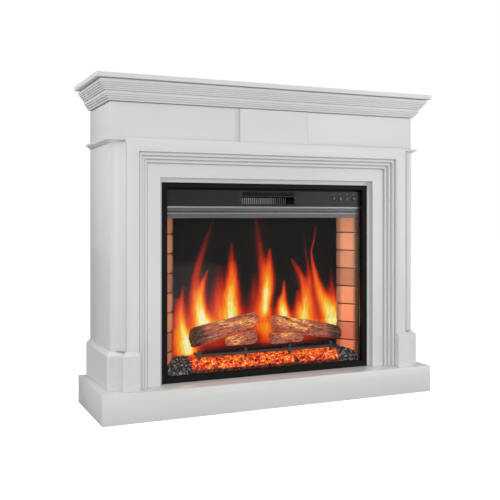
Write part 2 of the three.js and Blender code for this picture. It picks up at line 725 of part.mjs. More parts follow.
function addCasing() {
  const reach = CASING_HALF_WIDTH;
  const front = FRAME_BACK_Y + GAP;
  const topBase = CASING_TOP_Z - SHEET;
  addPart('casing_base', box(
    [-reach, front, CASING_BASE_Z],
    [reach, CASING_BACK_Y, CASING_BASE_Z + SHEET],
  ), GALVANISED);
  addPart('casing_top', box([-reach, front, topBase], [reach, CASING_BACK_Y, CASING_TOP_Z]), GALVANISED);
  for (const [word, side] of SIDES) {
    const [x0, x1] = [side * (reach - SHEET), side * reach].sort((a, b) => a - b);
    const low = [x0, front, CASING_BASE_Z + SHEET + GAP];
    const panel = box(low, [x1, CASING_BACK_Y, topBase - GAP]);
    addPart(`casing_${word}`, panel, GALVANISED);
  }
}

/** The back sheet, with rows of vents behind the blower and a hole for the inlet. */
function addRearCover() {
  const { x, z, halfWidth, halfHeight } = INLET;
  const holes = [[x - halfWidth, z - halfHeight, x + halfWidth, z + halfHeight]];
  for (let column = 0; column < VENT_COUNT.columns; column += 1) {
    const middle = (column - (VENT_COUNT.columns - 1) / 2) * VENT_PITCH.x;
    for (let row = 0; row < VENT_COUNT.rows; row += 1) {
      const base = VENT_BASE_Z + row * VENT_PITCH.z;
      holes.push([middle - VENT.halfLength, base, middle + VENT.halfLength, base + VENT.height]);
    }
  }
  const low = [-CASING_HALF_WIDTH, CASING_BACK_Y + GAP, CASING_BASE_Z];
  const high = [CASING_HALF_WIDTH, CASING_BACK_Y + GAP + SHEET, CASING_TOP_Z];
  addPart('rear_cover', punchedSheet(low, high, holes), GALVANISED);
}

/** The appliance inlet: a flange on the rear cover round a pocket. */
function addPowerInlet() {
  const coverBack = CASING_BACK_Y + GAP + SHEET;
  const block = (spreadX, spreadZ, front, back) => box(
    [INLET.x - INLET.halfWidth - spreadX, coverBack + front, INLET.z - INLET.halfHeight - spreadZ],
    [INLET.x + INLET.halfWidth + spreadX, coverBack + back, INLET.z + INLET.halfHeight + spreadZ],
  );
  const [flangeBack, barrelFront, floor, wall] = [2.5, -24, 4, 2];
  const flange = block(7, 4, GAP, flangeBack);
  const barrel = block(-GAP, -GAP, barrelFront, flangeBack - 1);
  const pocket = block(-wall, -wall, barrelFront + floor, flangeBack + 1);
  addPart('power_inlet', cut(join([flange, barrel]), [pocket]), DARK_PLASTIC);
}

// ---------------------------------------------------------------- insert: fan heater

function addHeater() {
  const { count, front, back, base, top, spine, halfThickness } = HEATER;
  const reach = ((count - 1) / 2) * FIN_PITCH;
  const pieces = [box([-reach - 2, back - spine, base], [reach + 2, back, top])];
  for (let i = 0; i < count; i += 1) {
    const x = -reach + i * FIN_PITCH;
    pieces.push(box([x - halfThickness, front, base], [x + halfThickness, back - 1, top]));
  }
  addPart('heater_fin_pack', join(pieces), BRIGHT_TRIM);
}

/** A C-shaped scroll round the blower wheel, open towards the heater. */
function addBlowerHousing() {
  const [inner, wall, segments] = [WHEEL_RADIUS + 3, 1.6, 14];
  const [start, end] = [-Math.PI * 0.72, Math.PI * 0.72];
  const arc = (radius, from, to) => Array.from({ length: segments + 1 }, (unused, i) => {
    const angle = from + (i / segments) * (to - from);
    return [WHEEL_AXIS.y + radius * Math.cos(angle), WHEEL_AXIS.z + radius * Math.sin(angle)];
  });
  const profile = [...arc(inner + wall, start, end), ...arc(inner, end, start)];
  addPart('blower_housing', runAlongX(profile, -HOUSING_HALF_LENGTH, HOUSING_HALF_LENGTH), GALVANISED);
}

function addBlowerWheel() {
  const { y, z } = WHEEL_AXIS;
  const reach = WHEEL_HALF_LENGTH;
  const bladeCount = 16;
  const pieces = [turnedOnX(rod(2.5, -reach - 6, reach + 12), y, z)];
  for (const x of [-reach, reach - 2]) {
    pieces.push(turnedOnX(rod(WHEEL_RADIUS, x, x + 2), y, z));
  }
  for (let i = 0; i < bladeCount; i += 1) {
    const blade = box([-reach + 1, WHEEL_RADIUS - 6, -0.5], [reach - 1, WHEEL_RADIUS - 0.6, 0.5]);
    pieces.push(blade.rotateX((i / bladeCount) * 2 * Math.PI).translate(0, y, z));
  }
  addPart('blower_wheel', join(pieces), DARK_PLASTIC);
}

function addMotors() {
  const motor = (start, nose, radius, length) => {
    const shoulder = start + 3;
    const end = start + length;
    return [[0, start], [nose, start], [nose, shoulder], [radius, shoulder], [radius, end], [0, end]];
  };
  const blower = motor(WHEEL_HALF_LENGTH + 13, 6, 20, 30);
  addPart('blower_motor', turnedOnX(blower, WHEEL_AXIS.y, WHEEL_AXIS.z), GREY_STEEL);
  const flame = motor(SPINDLE_HALF_LENGTH + 1, 5, 24, 20);
  addPart('flame_motor', turnedOnX(flame, SPINDLE_AXIS.y, SPINDLE_AXIS.z), GREY_STEEL);
}

// ---------------------------------------------------------------- insert: flame effect

/** A thin rod with short reflecting blades set round it, each turned on from the last. */
function addFlameSpindle() {
  const { y, z } = SPINDLE_AXIS;
  const reach = SPINDLE_HALF_LENGTH;
  const pieces = [turnedOnX(rod(3, -reach, reach), y, z)];
  const { count, halfLength, halfWidth, turn, margin } = SPINDLE_FOIL;
  const pitch = (2 * (reach - margin)) / count;
  for (let i = 0; i < count; i += 1) {
    const x = -reach + margin + (i + 0.5) * pitch;
    const foil = box([x - halfLength, -halfWidth, -0.5], [x + halfLength, halfWidth, 0.5]);
    pieces.push(foil.rotateX(i * turn).translate(0, y, z));
  }
  addPart('flame_spindle', join(pieces), BRIGHT_TRIM);
}

/** A strip board with a row of LEDs on top. */
function ledBoard(front, back) {
  const { halfLength, base, thickness, pitch } = LED_BOARD;
  const middle = (front + back) / 2;
  const pieces = [box([-halfLength, front, base], [halfLength, back, base + thickness])];
  for (let x = -halfLength + pitch / 2; x < halfLength; x += pitch) {
    pieces.push(box([x - 2.5, middle - 2.5, base + 1], [x + 2.5, middle + 2.5, base + 3]));
  }
  return join(pieces);
}

function addElectronics() {
  addPart('ember_led_board', ledBoard(-30, -10), CIRCUIT);
  addPart('flame_led_board', ledBoard(74, 94), CIRCUIT);
  const { left, right, front, back, base, top } = CONTROL_BOARD;
  const board = box([left, front, base], [right, back, top]);
  const relay = box([left + 40, back - 0.5, base + 4], [left + 62, back + 12.5, base + 22]);
  const capacitor = box([left + 84, back - 0.5, base + 4], [left + 100, back + 16.5, base + 32]);
  addPart('control_board', join([board, relay, capacitor]), CIRCUIT);
}

addHearth();
addSurround();
addColumns();
addTop();
addRails();
addFrontFrame();
addFascia();
addOutletGuard();
addButtons();
addGlass();
addFireboxLining();
addHeader();
addEmberBed();
addLogs();
addGrate();
addCasing();
addRearCover();
addPowerInlet();
addHeater();
addBlowerHousing();
addBlowerWheel();
addMotors();
addFlameSpindle();
addElectronics();

export default group;
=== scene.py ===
# %% [markdown]
# # A free-standing electric fireplace
# A white lacquered mantel stands against a wall and holds a black electric fire. The CAD
# frame has every board, sheet and moving piece at its real size. This script dresses it:
# eased and lacquered joinery, glass, brick lining, logs, embers, flames and the hardware.
# Everything is in metres, +X to the viewer's right, +Y to the wall and +Z up.

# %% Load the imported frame
import math
import random

import bmesh
import bpy
from mathutils import Matrix, Vector, noise


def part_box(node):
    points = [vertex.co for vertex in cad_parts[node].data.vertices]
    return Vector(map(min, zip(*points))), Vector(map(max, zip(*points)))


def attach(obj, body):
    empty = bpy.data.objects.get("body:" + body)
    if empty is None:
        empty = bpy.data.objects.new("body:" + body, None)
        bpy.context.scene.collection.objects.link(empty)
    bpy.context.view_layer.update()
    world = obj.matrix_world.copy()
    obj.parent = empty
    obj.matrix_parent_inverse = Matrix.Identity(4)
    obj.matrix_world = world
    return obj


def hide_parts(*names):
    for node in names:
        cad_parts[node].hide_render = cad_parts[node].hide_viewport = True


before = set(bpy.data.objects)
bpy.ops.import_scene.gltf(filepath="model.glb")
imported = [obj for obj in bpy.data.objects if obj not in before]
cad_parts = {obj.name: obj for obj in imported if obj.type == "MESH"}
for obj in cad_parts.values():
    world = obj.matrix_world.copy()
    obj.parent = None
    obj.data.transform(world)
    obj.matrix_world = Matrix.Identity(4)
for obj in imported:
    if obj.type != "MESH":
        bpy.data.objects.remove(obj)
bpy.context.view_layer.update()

BODY = "mantel"
MM = 0.001

# %% [markdown]
# ## Camera, floor and light
# A standing viewer looks at the mantel from the left, level with the upper part of the
# window. A level camera keeps upright edges upright, and a little vertical shift brings the
# hearth back into the frame, as an architectural lens does. The floor and the backdrop are
# one pale surface, so the white mantel is read by its shading alone.

# %% Camera
CAMERA_PLACE = Vector((-1.060, -2.320, 0.593))
CAMERA_YAW = math.radians(-23.85)
LENS = 56.66
LENS_SHIFT = -0.073

camera = bpy.data.objects.new("camera", bpy.data.cameras.new("camera"))
camera.data.lens = LENS
camera.data.sensor_width = 36.0
camera.data.shift_y = LENS_SHIFT
camera.location = CAMERA_PLACE
camera.rotation_euler = (math.radians(90), 0, CAMERA_YAW)
bpy.context.scene.collection.objects.link(camera)
bpy.context.scene.camera = camera

# %% Soft studio light
bpy.context.scene.view_settings.view_transform = "Standard"


def area_light(name, place, target, size, power, color=(1, 1, 1)):
    """A square soft box at place, turned to face target."""
    light = bpy.data.lights.new(name, "AREA")
    light.shape = "SQUARE"
    light.size = size
    light.energy = power
    light.color = color
    lamp = bpy.data.objects.new(name, light)
    lamp.location = place
    lamp.rotation_euler = (Vector(target) - Vector(place)).to_track_quat("-Z", "Y").to_euler()
    bpy.context.scene.collection.objects.link(lamp)


MIDDLE = (0, 0, 0.5)
area_light("key", (-2.2, -3.7, 1.0), MIDDLE, 2.4, 49)
area_light("right fill", (3.4, -3.2, 0.8), MIDDLE, 2.4, 55)
area_light("overhead", (-0.8, -1.4, 3.4), MIDDLE, 2.6, 22)
area_light("left fill", (-1.5, 0.05, 1.4), (-0.5, 0.0, 1.0), 0.7, 6.5)
area_light("floor bounce", (0.2, -1.75, 0.05), (0, -0.1, 0.9), 0.6, 2.6)
area_light("rear fill", (1.8, 3.2, 2.2), MIDDLE, 2.0, 40)

# %% World: white to look at, gentler as a lamp
ROOM_LIGHT = 0.44

world = bpy.data.worlds.new("studio")
world.use_nodes = True
world_tree = world.node_tree
backdrop = world_tree.nodes["Background"]
backdrop.inputs["Color"].default_value = (1, 1, 1, 1)
eye = world_tree.nodes.new("ShaderNodeLightPath")
level = world_tree.nodes.new("ShaderNodeMapRange")
level.inputs["To Min"].default_value = ROOM_LIGHT
level.inputs["To Max"].default_value = 1.0
world_tree.links.new(eye.outputs["Is Camera Ray"], level.inputs["Value"])
world_tree.links.new(level.outputs[0], backdrop.inputs["Strength"])
bpy.context.scene.world = world

# %% [markdown]
# ## A small language for materials
# A procedural material is arithmetic on sockets. The class `Sock` wraps one socket, so that
# `1 - mask * 0.5` adds the Math nodes that it says. The class `Finish` holds one material:
# it has a single method that adds any node, and a few short ones for the nodes that nearly
# every finish needs, such as noise, a colour ramp, a mix and a bump.

# %% Sockets that Python can calculate with


class Sock:
    """A value in a node tree. Python's operators on it add Math nodes."""

    def __init__(self, finish, socket):
        self.finish = finish
        self.socket = socket

    def math(self, operation, *values):
        """One Math node with this value first."""
        settings = {"operation": operation}
        inputs = dict(enumerate((self, *values)))
        return self.finish.value("ShaderNodeMath", settings, inputs)

    def reflected(self, operation, first):
        """One Math node with this value second."""
        return self.finish.value("ShaderNodeMath", {"operation": operation}, {0: first, 1: self})

    def __add__(self, other):
        return self.math("ADD", other)

    def __radd__(self, other):
        return self.reflected("ADD", other)

    def __sub__(self, other):
        return self.math("SUBTRACT", other)

    def __rsub__(self, other):
        return self.reflected("SUBTRACT", other)

    def __mul__(self, other):
        return self.math("MULTIPLY", other)

    def __rmul__(self, other):
        return self.reflected("MULTIPLY", other)

    def __truediv__(self, other):
        return self.math("DIVIDE", other)

    def clamped(self):
        """The value held between 0 and 1."""
        return self.math("MAXIMUM", 0.0).math("MINIMUM", 1.0)

    def smooth(self, low, high):
        """0 below low and 1 above high, with a soft step between."""
        settings = {"interpolation_type": "SMOOTHSTEP"}
        inputs = {"Value": self, "From Min": low, "From Max": high}
        return self.finish.value("ShaderNodeMapRange", settings, inputs)

    def band(self, start, full, fading, end):
        """1 from full to fading and 0 outside start and end, with soft steps."""
        return self.smooth(start, full) * (1 - self.smooth(fading, end))


class Finish:
    """One material: a Principled shader and the nodes that feed it."""

    def __init__(self, name, **constants):
        self.material = bpy.data.materials.new(name)
        self.material.use_nodes = True
        self.tree = self.material.node_tree
        self.tree.nodes.clear()
        settings = {name.replace("_", " "): value for name, value in constants.items()}
        self.shader = self.node("ShaderNodeBsdfPrincipled", {}, settings)
        self.node("ShaderNodeOutputMaterial", {}, {"Surface": self.shader.outputs[0]})

    def node(self, kind, settings=None, inputs=None):
        """Any node: its settings first, then the values or links of its sockets."""
        made = self.tree.nodes.new(kind)
        for name, value in (settings or {}).items():
            if name == "stops":
                self.set_stops(made.color_ramp, value)
            else:
                setattr(made, name, value)
        for name, value in (inputs or {}).items():
            self.feed(made.inputs[name], value)
        return made

    def feed(self, socket, value):
        """Gives a socket a link or a plain value."""
        source = value.socket if isinstance(value, Sock) else value
        if isinstance(source, bpy.types.NodeSocket):
            self.tree.links.new(source, socket)
        elif hasattr(source, "__len__") and len(source) == 3 and socket.type == "RGBA":
            socket.default_value = (*source, 1.0)
        else:
            socket.default_value = source

    @staticmethod
    def set_stops(ramp, stops):
        """Fills a colour ramp from (position, colour) pairs."""
        while len(ramp.elements) > 1:
            ramp.elements.remove(ramp.elements[-1])
        for count, (position, color) in enumerate(stops):
            element = ramp.elements[0] if count == 0 else ramp.elements.new(position)
            element.position = position
            element.color = (*color, 1.0)

    def value(self, kind, settings=None, inputs=None, output=0):
        """A node's output, ready to calculate with."""
        return Sock(self, self.node(kind, settings, inputs).outputs[output])

    def place(self):
        """The point on the object, in metres."""
        return self.value("ShaderNodeTexCoord", output="Object")

    def axes(self, vector=None):
        """The three numbers of a vector, the point itself if none is given."""
        split = self.node("ShaderNodeSeparateXYZ", {}, {0: vector or self.place()})
        return [Sock(self, socket) for socket in split.outputs]

    def stretched(self, scale, vector=None):
        """The pattern space scaled along each axis."""
        return self.value("ShaderNodeMapping", {}, {"Vector": vector or self.place(), "Scale": scale})

    def noise(self, scale, detail=3.0, roughness=0.5, distortion=0.0, vector=None):
        """Cloudy noise around 0.5."""
        inputs = {"Vector": vector or self.place(), "Scale": scale, "Detail": detail,
                  "Roughness": roughness, "Distortion": distortion}
        return self.value("ShaderNodeTexNoise", {}, inputs)

    def cells(self, scale, feature="F1", vector=None):
        """Distance in a cell pattern."""
        inputs = {"Vector": vector or self.place(), "Scale": scale}
        return self.value("ShaderNodeTexVoronoi", {"feature": feature}, inputs)

    def ramp(self, value, *stops):
        """A colour looked up from a value."""
        return self.value("ShaderNodeValToRGB", {"stops": stops}, {"Fac": value})

    def drift(self, value, dark, light):
        """A colour that drifts from dark to light with noise around 0.5."""
        return self.ramp(value, (0.3, dark), (0.7, light))

    def mix(self, factor, first, second, blend="MIX"):
        """A mix of two colours."""
        settings = {"data_type": "RGBA", "blend_type": blend}
        inputs = {"Factor": factor, 6: first, 7: second}
        return self.value("ShaderNodeMix", settings, inputs, output=2)

    def bump(self, height, strength, distance):
        """Small relief from a height."""
        inputs = {"Strength": strength, "Distance": distance, "Height": height}
        return self.value("ShaderNodeBump", {}, inputs)

    def streaks(self, scale):
        """Noise drawn out into streaks."""
        return self.noise(1.0, 4.0, 0.6, vector=self.stretched(scale))

    def feeds(self, **sockets):
        """Links the shader's sockets and returns the finished material."""
        for name, value in sockets.items():
            self.feed(self.shader.inputs[name.replace("_", " ")], value)
        return self.material


# %% [markdown]
# ## Joinery with eased edges
# A routed and lacquered board has no knife edge: each arris is sanded to about a
# millimetre, and that thin band is what catches the light. A CAD node is loose triangles,
# so a copy is merged, its flat faces are made whole again, and only its outward edges are
# bevelled. Edges that lie in a joint stay sharp, because lacquer fills them.

# %% Copying a node and easing its edges
LACQUER_EASE = 1.3 * MM
EASE_SEGMENTS = 2
WELD_GAP = 0.001 * MM
FLAT_ANGLE = math.radians(0.4)
SMOOTH_ANGLE = math.radians(25)
ARRIS_ANGLE = math.radians(32)


def piece_from(name, bm, material, body):
    """A bmesh made an object that rides on a body, smooth where its faces turn gently."""
    mesh = bpy.data.meshes.new(name)
    bm.to_mesh(mesh)
    bm.free()
    mesh.materials.append(material)
    mesh.polygons.foreach_set("use_smooth", [True] * len(mesh.polygons))
    mesh.set_sharp_from_angle(angle=SMOOTH_ANGLE)
    piece = bpy.data.objects.new(name, mesh)
    bpy.context.scene.collection.objects.link(piece)
    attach(piece, body)
    return piece


def merged_node(node):
    """A bmesh of a CAD node with shared corners and whole flat faces."""
    bm = bmesh.new()
    bm.from_mesh(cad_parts[node].data)
    bmesh.ops.remove_doubles(bm, verts=bm.verts, dist=WELD_GAP)
    bmesh.ops.dissolve_limit(bm, angle_limit=FLAT_ANGLE, verts=bm.verts, edges=bm.edges)
    return bm


def in_no_joint(point):
    """The rule for a piece whose every edge is open."""
    return False


def ease(bm, width, in_joint=in_no_joint):
    """Bevels the outward edges, apart from those with both ends in a joint."""
    sharp = [
        edge for edge in bm.edges
        if edge.is_manifold and edge.is_convex and edge.calc_face_angle() > ARRIS_ANGLE
        and not all(in_joint(vert.co) for vert in edge.verts)
    ]
    bmesh.ops.bevel(bm, geom=sharp, offset=width, segments=EASE_SEGMENTS, profile=0.5,
                    affect="EDGES", clamp_overlap=True)


def eased(node, material, width=LACQUER_EASE, body=BODY, in_joint=in_no_joint):
    """A piece with a node's shape and sanded edges, standing for that node."""
    bm = merged_node(node)
    ease(bm, width, in_joint)
    piece = piece_from(node + "_finished", bm, material, body)
    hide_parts(node)
    return piece


def dress(node, material):
    """A material for a node that keeps its own shape."""
    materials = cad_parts[node].data.materials
    materials.clear()
    materials.append(material)


# %% [markdown]
# ## White lacquer
# Sprayed satin lacquer on fibreboard is nearly even: a soft sheen, a faint orange peel a
# couple of millimetres across, and very slight warm and cool drifts of the white. The same
# lacquer can be rubbed to a gloss above a given height, which the hearth's top needs.

# %% White lacquer
POLISH = 0.90


def make_white_lacquer(name="white_lacquer", polished_above=None):
    finish = Finish(name, Coat_Roughness=0.16, Coat_Weight=0.35, IOR=1.45)
    cloud = finish.noise(2.3, 2.0)
    colour = finish.ramp(cloud, (0.35, (0.715, 0.722, 0.712)), (0.65, (0.745, 0.75, 0.742)))
    sheen = 0.40 + 0.10 * finish.noise(38.0, 3.0)
    if polished_above is not None:
        polish = finish.axes()[2].smooth(polished_above - 2 * MM, polished_above - 0.5 * MM)
        sheen = sheen * (1 - POLISH * polish)
    peel = finish.noise(520.0, 2.0)
    relief = finish.bump(peel, 0.04, 0.02 * MM)
    return finish.feeds(Base_Color=colour, Roughness=sheen, Normal=relief)


WHITE = make_white_lacquer()

# %% [markdown]
# ## The plinth, the columns and the surround
# These are boards and mouldings glued up before they are sprayed, so the lacquer runs over
# the joints and none shows. The plinth is one shell with an open back, and its top is
# rubbed to a gloss, so the black frame mirrors faintly in it. The stepped surround is one
# moulding that goes up one jamb, across the lintel and down the other, mitred at the
# corners: its section is lofted along that path. Each step has a fine quirk at its foot,
# which is the dark line that draws the step from far away.

# %% Sizes taken from the frame
HEARTH_LOW, HEARTH_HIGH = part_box("hearth_top_board")
HEARTH_UNDER = HEARTH_LOW.z
BOARD = HEARTH_HIGH.z - HEARTH_LOW.z
HEARTH_TOP = HEARTH_HIGH.z
BACK = HEARTH_HIGH.y
SURROUND_LOW, SURROUND_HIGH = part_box("surround_lintel")
PANEL_HALF = SURROUND_HIGH.x
PANEL_TOP = SURROUND_HIGH.z
MITRE_RISE = PANEL_TOP - PANEL_HALF
OPENING_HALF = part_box("surround_jamb_right")[0].x
BODY_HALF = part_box("side_panel_right")[1].x
BODY_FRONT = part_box("side_panel_right")[0].y
FOOT = HEARTH_TOP + 0.3 * MM
FIRST_STEP = 0.4385
STEP_COUNT = 4
STEP_WIDTH = 10 * MM
STEP_DEPTH = 7.5 * MM
QUIRK_WIDTH = 3.0 * MM
QUIRK_DEPTH = 5.5 * MM
NOSE = 0.8 * MM
RIM_ROUND = 2.6 * MM
RIM_CORNER = 0.7 * MM
print("surround", round(2 * PANEL_HALF, 3), "m wide, opening", round(2 * OPENING_HALF, 3))


def surround_section():
    """The moulding's section: distance from the middle of the opening, and depth."""
    section = [(OPENING_HALF, SURROUND_HIGH.y)]
    panel = SURROUND_LOW.y + STEP_COUNT * STEP_DEPTH
    section += [(OPENING_HALF, panel + NOSE), (OPENING_HALF + NOSE, panel)]
    for step in range(STEP_COUNT, 0, -1):
        x = FIRST_STEP - (step - 1) * STEP_WIDTH
        low = SURROUND_LOW.y + step * STEP_DEPTH
        high = low - STEP_DEPTH
        quirk = low + QUIRK_DEPTH
        section += [(x - QUIRK_WIDTH, low), (x - 0.85 * QUIRK_WIDTH, quirk), (x, quirk)]
        section += [(x, high + NOSE), (x + NOSE * 0.3, high + NOSE * 0.3), (x + NOSE, high)]
    section += [(PANEL_HALF - RIM_ROUND, SURROUND_LOW.y),
                (PANEL_HALF - RIM_CORNER, SURROUND_LOW.y + RIM_CORNER),
                (PANEL_HALF, SURROUND_LOW.y + RIM_ROUND), (PANEL_HALF, SURROUND_HIGH.y)]
    return section


def add_band(bm, low, high):
    """Quads all round between two rings of vertices."""
    for i in range(len(low)):
        j = (i + 1) % len(low)
        bm.faces.new((low[i], low[j], high[j], high[i]))


def add_loft(bm, rings):
    """Walls through rings of points, with a flat cap on each end."""
    made = [[bm.verts.new(point) for point in ring] for ring in rings]
    for low, high in zip(made, made[1:]):
        add_band(bm, low, high)
    bm.faces.new(made[0][::-1])
    bm.faces.new(made[-1])


def closed_loft(rings):
    """A bmesh of one loft, its faces turned outward."""
    bm = bmesh.new()
    add_loft(bm, rings)
    bmesh.ops.recalc_face_normals(bm, faces=bm.faces)
    return bm


def add_grid(bm, grid):
    """Quads between the neighbouring vertices of a grid."""
    for low, high in zip(grid, grid[1:]):
        for i in range(len(low) - 1):
            bm.faces.new((low[i], low[i + 1], high[i + 1], high[i]))


def close_grid(bm, grid, back):
    """Four edge faces and a flat back, which has a corner behind each corner of the grid."""
    bm.faces.new((*grid[0][::-1], back[0], back[1]))
    bm.faces.new((*grid[-1], back[2], back[3]))
    bm.faces.new((*[line[0] for line in grid], back[3], back[0]))
    bm.faces.new((*[line[-1] for line in grid][::-1], back[1], back[2]))
    bm.faces.new(back[::-1])


def stacked(plan, profile):
    """A wrap whose plan is redrawn at each height with another projection."""
    return closed_loft([[(x, y, z) for x, y in plan(proud)] for z, proud in profile])


# %% Surround
section = surround_section()
surround = closed_loft([
    [(-x, y, FOOT) for x, y in section],
    [(-x, y, x + MITRE_RISE) for x, y in section],
    [(x, y, x + MITRE_RISE) for x, y in section],
    [(x, y, FOOT) for x, y in section],
])
piece = piece_from("stepped_surround", surround, WHITE, BODY)
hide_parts("surround_jamb_left", "surround_jamb_right", "surround_lintel")

# %% Plinth
FRONT = HEARTH_LOW.y
SIDE = HEARTH_HIGH.x
PLINTH_EASE = 1.8 * MM


def plinth_shell():
    """A box with a hollow that is open below and behind."""
    bm = bmesh.new()
    inner, inner_front = SIDE - BOARD, FRONT + BOARD
    plan = [(-SIDE, BACK), (-SIDE, FRONT), (SIDE, FRONT), (SIDE, BACK),
            (inner, BACK), (inner, inner_front), (-inner, inner_front), (-inner, BACK)]
    low = [bm.verts.new((x, y, 0)) for x, y in plan]
    under = [bm.verts.new((x, y, HEARTH_UNDER)) for x, y in plan[4:]]
    top = [bm.verts.new((x, y, HEARTH_TOP)) for x, y in plan[:4]]
    bm.faces.new(low)
    bm.faces.new(top)
    bm.faces.new(under)
    for i in range(3):
        bm.faces.new((low[i], low[i + 1], top[i + 1], top[i]))
        bm.faces.new((low[i + 4], low[i + 5], under[i + 1], under[i]))
    bm.faces.new((low[0], low[7], under[3], under[0], low[4], low[3], top[3], top[0]))
    bmesh.ops.recalc_face_normals(bm, faces=bm.faces)
    return bm


bm = plinth_shell()
ease(bm, PLINTH_EASE)
POLISHED = make_white_lacquer("polished_hearth", HEARTH_TOP)
piece = piece_from("plinth", bm, POLISHED, BODY)
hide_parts("hearth_top_board", "hearth_front_board", "hearth_side_left", "hearth_side_right")

# %% [markdown]
# The body above the plinth is a three-sided case: two side boards and the frieze. Above the
# astragal it is one wrap, so no joint shows at the corner, and below it the side boards
# stand behind the hollow corners of the columns. Those hollows are quarter ellipses centred
# on the outer corner, so they darken towards the side and catch the light at the panel.

# %% Case, columns and centre block
COVE_WIDTH = BODY_HALF - PANEL_HALF
COVE_DEPTH = BODY_FRONT - SURROUND_LOW.y
SEAM = 0.3 * MM
COVE_STEPS = 28
COVE_LIP = 0.8 * MM
SHELF_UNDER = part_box("mantel_shelf")[0].z


def case_plan(proud):
    """The three-sided case above the astragal."""
    out, inner = BODY_HALF + proud, BODY_HALF - BOARD
    return [(-out, BACK), (-out, BODY_FRONT - proud), (out, BODY_FRONT - proud), (out, BACK),
            (inner, BACK), (inner, BODY_FRONT + BOARD), (-inner, BODY_FRONT + BOARD), (-inner, BACK)]


case_base = PANEL_TOP + SEAM
CROWN_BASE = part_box("crown_lower_moulding")[0].z
GROOVE_TOP = CROWN_BASE + 2.8 * MM
GROOVE_DEPTH = 9 * MM
bm = stacked(case_plan, [(case_base, 0), (CROWN_BASE, 0), (CROWN_BASE, -GROOVE_DEPTH),
                         (GROOVE_TOP, -GROOVE_DEPTH), (GROOVE_TOP, 0), (SHELF_UNDER - SEAM, 0)])
ease(bm, LACQUER_EASE, in_joint=lambda p: CROWN_BASE - MM < p.z < GROOVE_TOP + MM)
piece = piece_from("frieze_case", bm, WHITE, BODY)
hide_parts("frieze_board")


def cove_plan(side):
    """The hollow corner with a small flat lip at each end."""
    arc = []
    for i in range(COVE_STEPS + 1):
        angle = math.pi / 2 * i / COVE_STEPS
        x = BODY_HALF - (COVE_WIDTH - COVE_LIP) * math.cos(angle)
        y = SURROUND_LOW.y + (COVE_DEPTH - COVE_LIP) * math.sin(angle)
        arc.append((side * x, y))
    rear = BODY_FRONT - SEAM
    return arc + [(side * BODY_HALF, rear), (side * (PANEL_HALF + SEAM), rear)]


def in_pedestal_joint(point):
    """The foot on the hearth and the thin top edge round the column stay sharp."""
    return point.z < FOOT + MM or point.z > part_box("pedestal_left")[1].z - MM


for word, side in (("left", -1), ("right", 1)):
    plan = cove_plan(side)
    astragal_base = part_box("astragal_" + word)[0].z
    bm = closed_loft([[(x, y, z) for x, y in plan] for z in (FOOT, astragal_base - SEAM)])
    piece = piece_from("column_hollow_" + word, bm, WHITE, BODY)
    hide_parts("column_cove_" + word)

    low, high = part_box("side_panel_" + word)
    bm = bmesh.new()
    bmesh.ops.create_cube(bm, size=1)
    size = Vector((high.x - low.x, high.y - low.y, PANEL_TOP - low.z))
    middle = Vector(((high.x + low.x) / 2, (high.y + low.y) / 2, (PANEL_TOP + low.z) / 2))
    bmesh.ops.transform(bm, matrix=Matrix.LocRotScale(middle, None, size), verts=bm.verts)
    ease(bm, LACQUER_EASE)
    piece = piece_from("side_board_" + word, bm, WHITE, BODY)
    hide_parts("side_panel_" + word)

    eased("pedestal_" + word, WHITE, width=1.1 * MM, in_joint=in_pedestal_joint)
    eased("astragal_" + word, WHITE, width=0.7 * MM)
    eased("insert_rail_" + word, WHITE)
eased("insert_rail_top", WHITE)
eased("frieze_centre_block", WHITE, width=1.0 * MM)
eased("mantel_shelf", WHITE, width=1.6 * MM)

# %% [markdown]
# ## Crown
# Two stepped mouldings carry the shelf. Each steps out in a few small square fillets with a
# fine groove over each, and ends in a taller one. A groove sawn in the case under the lower
# one draws a dark line all round, and a recess does the same under the shelf. Each is drawn
# as a profile, height against projection, and wrapped round the case.

# %% Crown mouldings
HUG = BODY_HALF + SEAM
FILLET_EASE = 0.35 * MM
LIP_EASE = 0.4 * MM
LIP_REACH = 3.0 * MM
LOWER_LIP = 8.0 * MM
UPPER_LIP = 8.5 * MM
LOWER_START = 2.0 * MM
UPPER_FOOT_RISE = 1.6 * MM
UPPER_FOOT_OUT = 17.0 * MM
UPPER_START = 19.0 * MM
RECESS_RISE = 2.7 * MM
RECESS_OUT = 30 * MM
RIM_EASE = 0.5 * MM


def crown_plan(proud):
    """Left side, front and right side, hugging the case."""
    out, front = BODY_HALF + proud, BODY_FRONT - proud
    hug_front = BODY_FRONT - SEAM
    return [(-out, BACK), (-out, front), (out, front), (out, BACK),
            (HUG, BACK), (HUG, hug_front), (-HUG, hug_front), (-HUG, BACK)]


def fillets(low, high, count, groove=0.9 * MM, depth=0.6 * MM):
    """Profile points of square fillets, each with a groove over it, from low to high."""
    rise = (high[0] - low[0]) / count
    reach = (high[1] - low[1]) / count
    points = []
    for step in range(count):
        z, proud = low[0] + step * rise, low[1] + (step + 1) * reach
        top = z + rise - groove
        points += [(z, proud - FILLET_EASE), (z + FILLET_EASE, proud), (top - FILLET_EASE, proud),
                   (top, proud - FILLET_EASE), (top, proud - depth), (z + rise, proud - depth)]
    return points


lower_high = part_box("crown_lower_moulding")[1]
top = lower_high.z
out = lower_high.x - BODY_HALF
lip = top - LOWER_LIP
lower_profile = fillets((GROOVE_TOP, LOWER_START), (lip, out - LIP_REACH), 3)
lower_profile += [(lip, out - LIP_EASE), (lip + LIP_EASE, out), (top, out)]

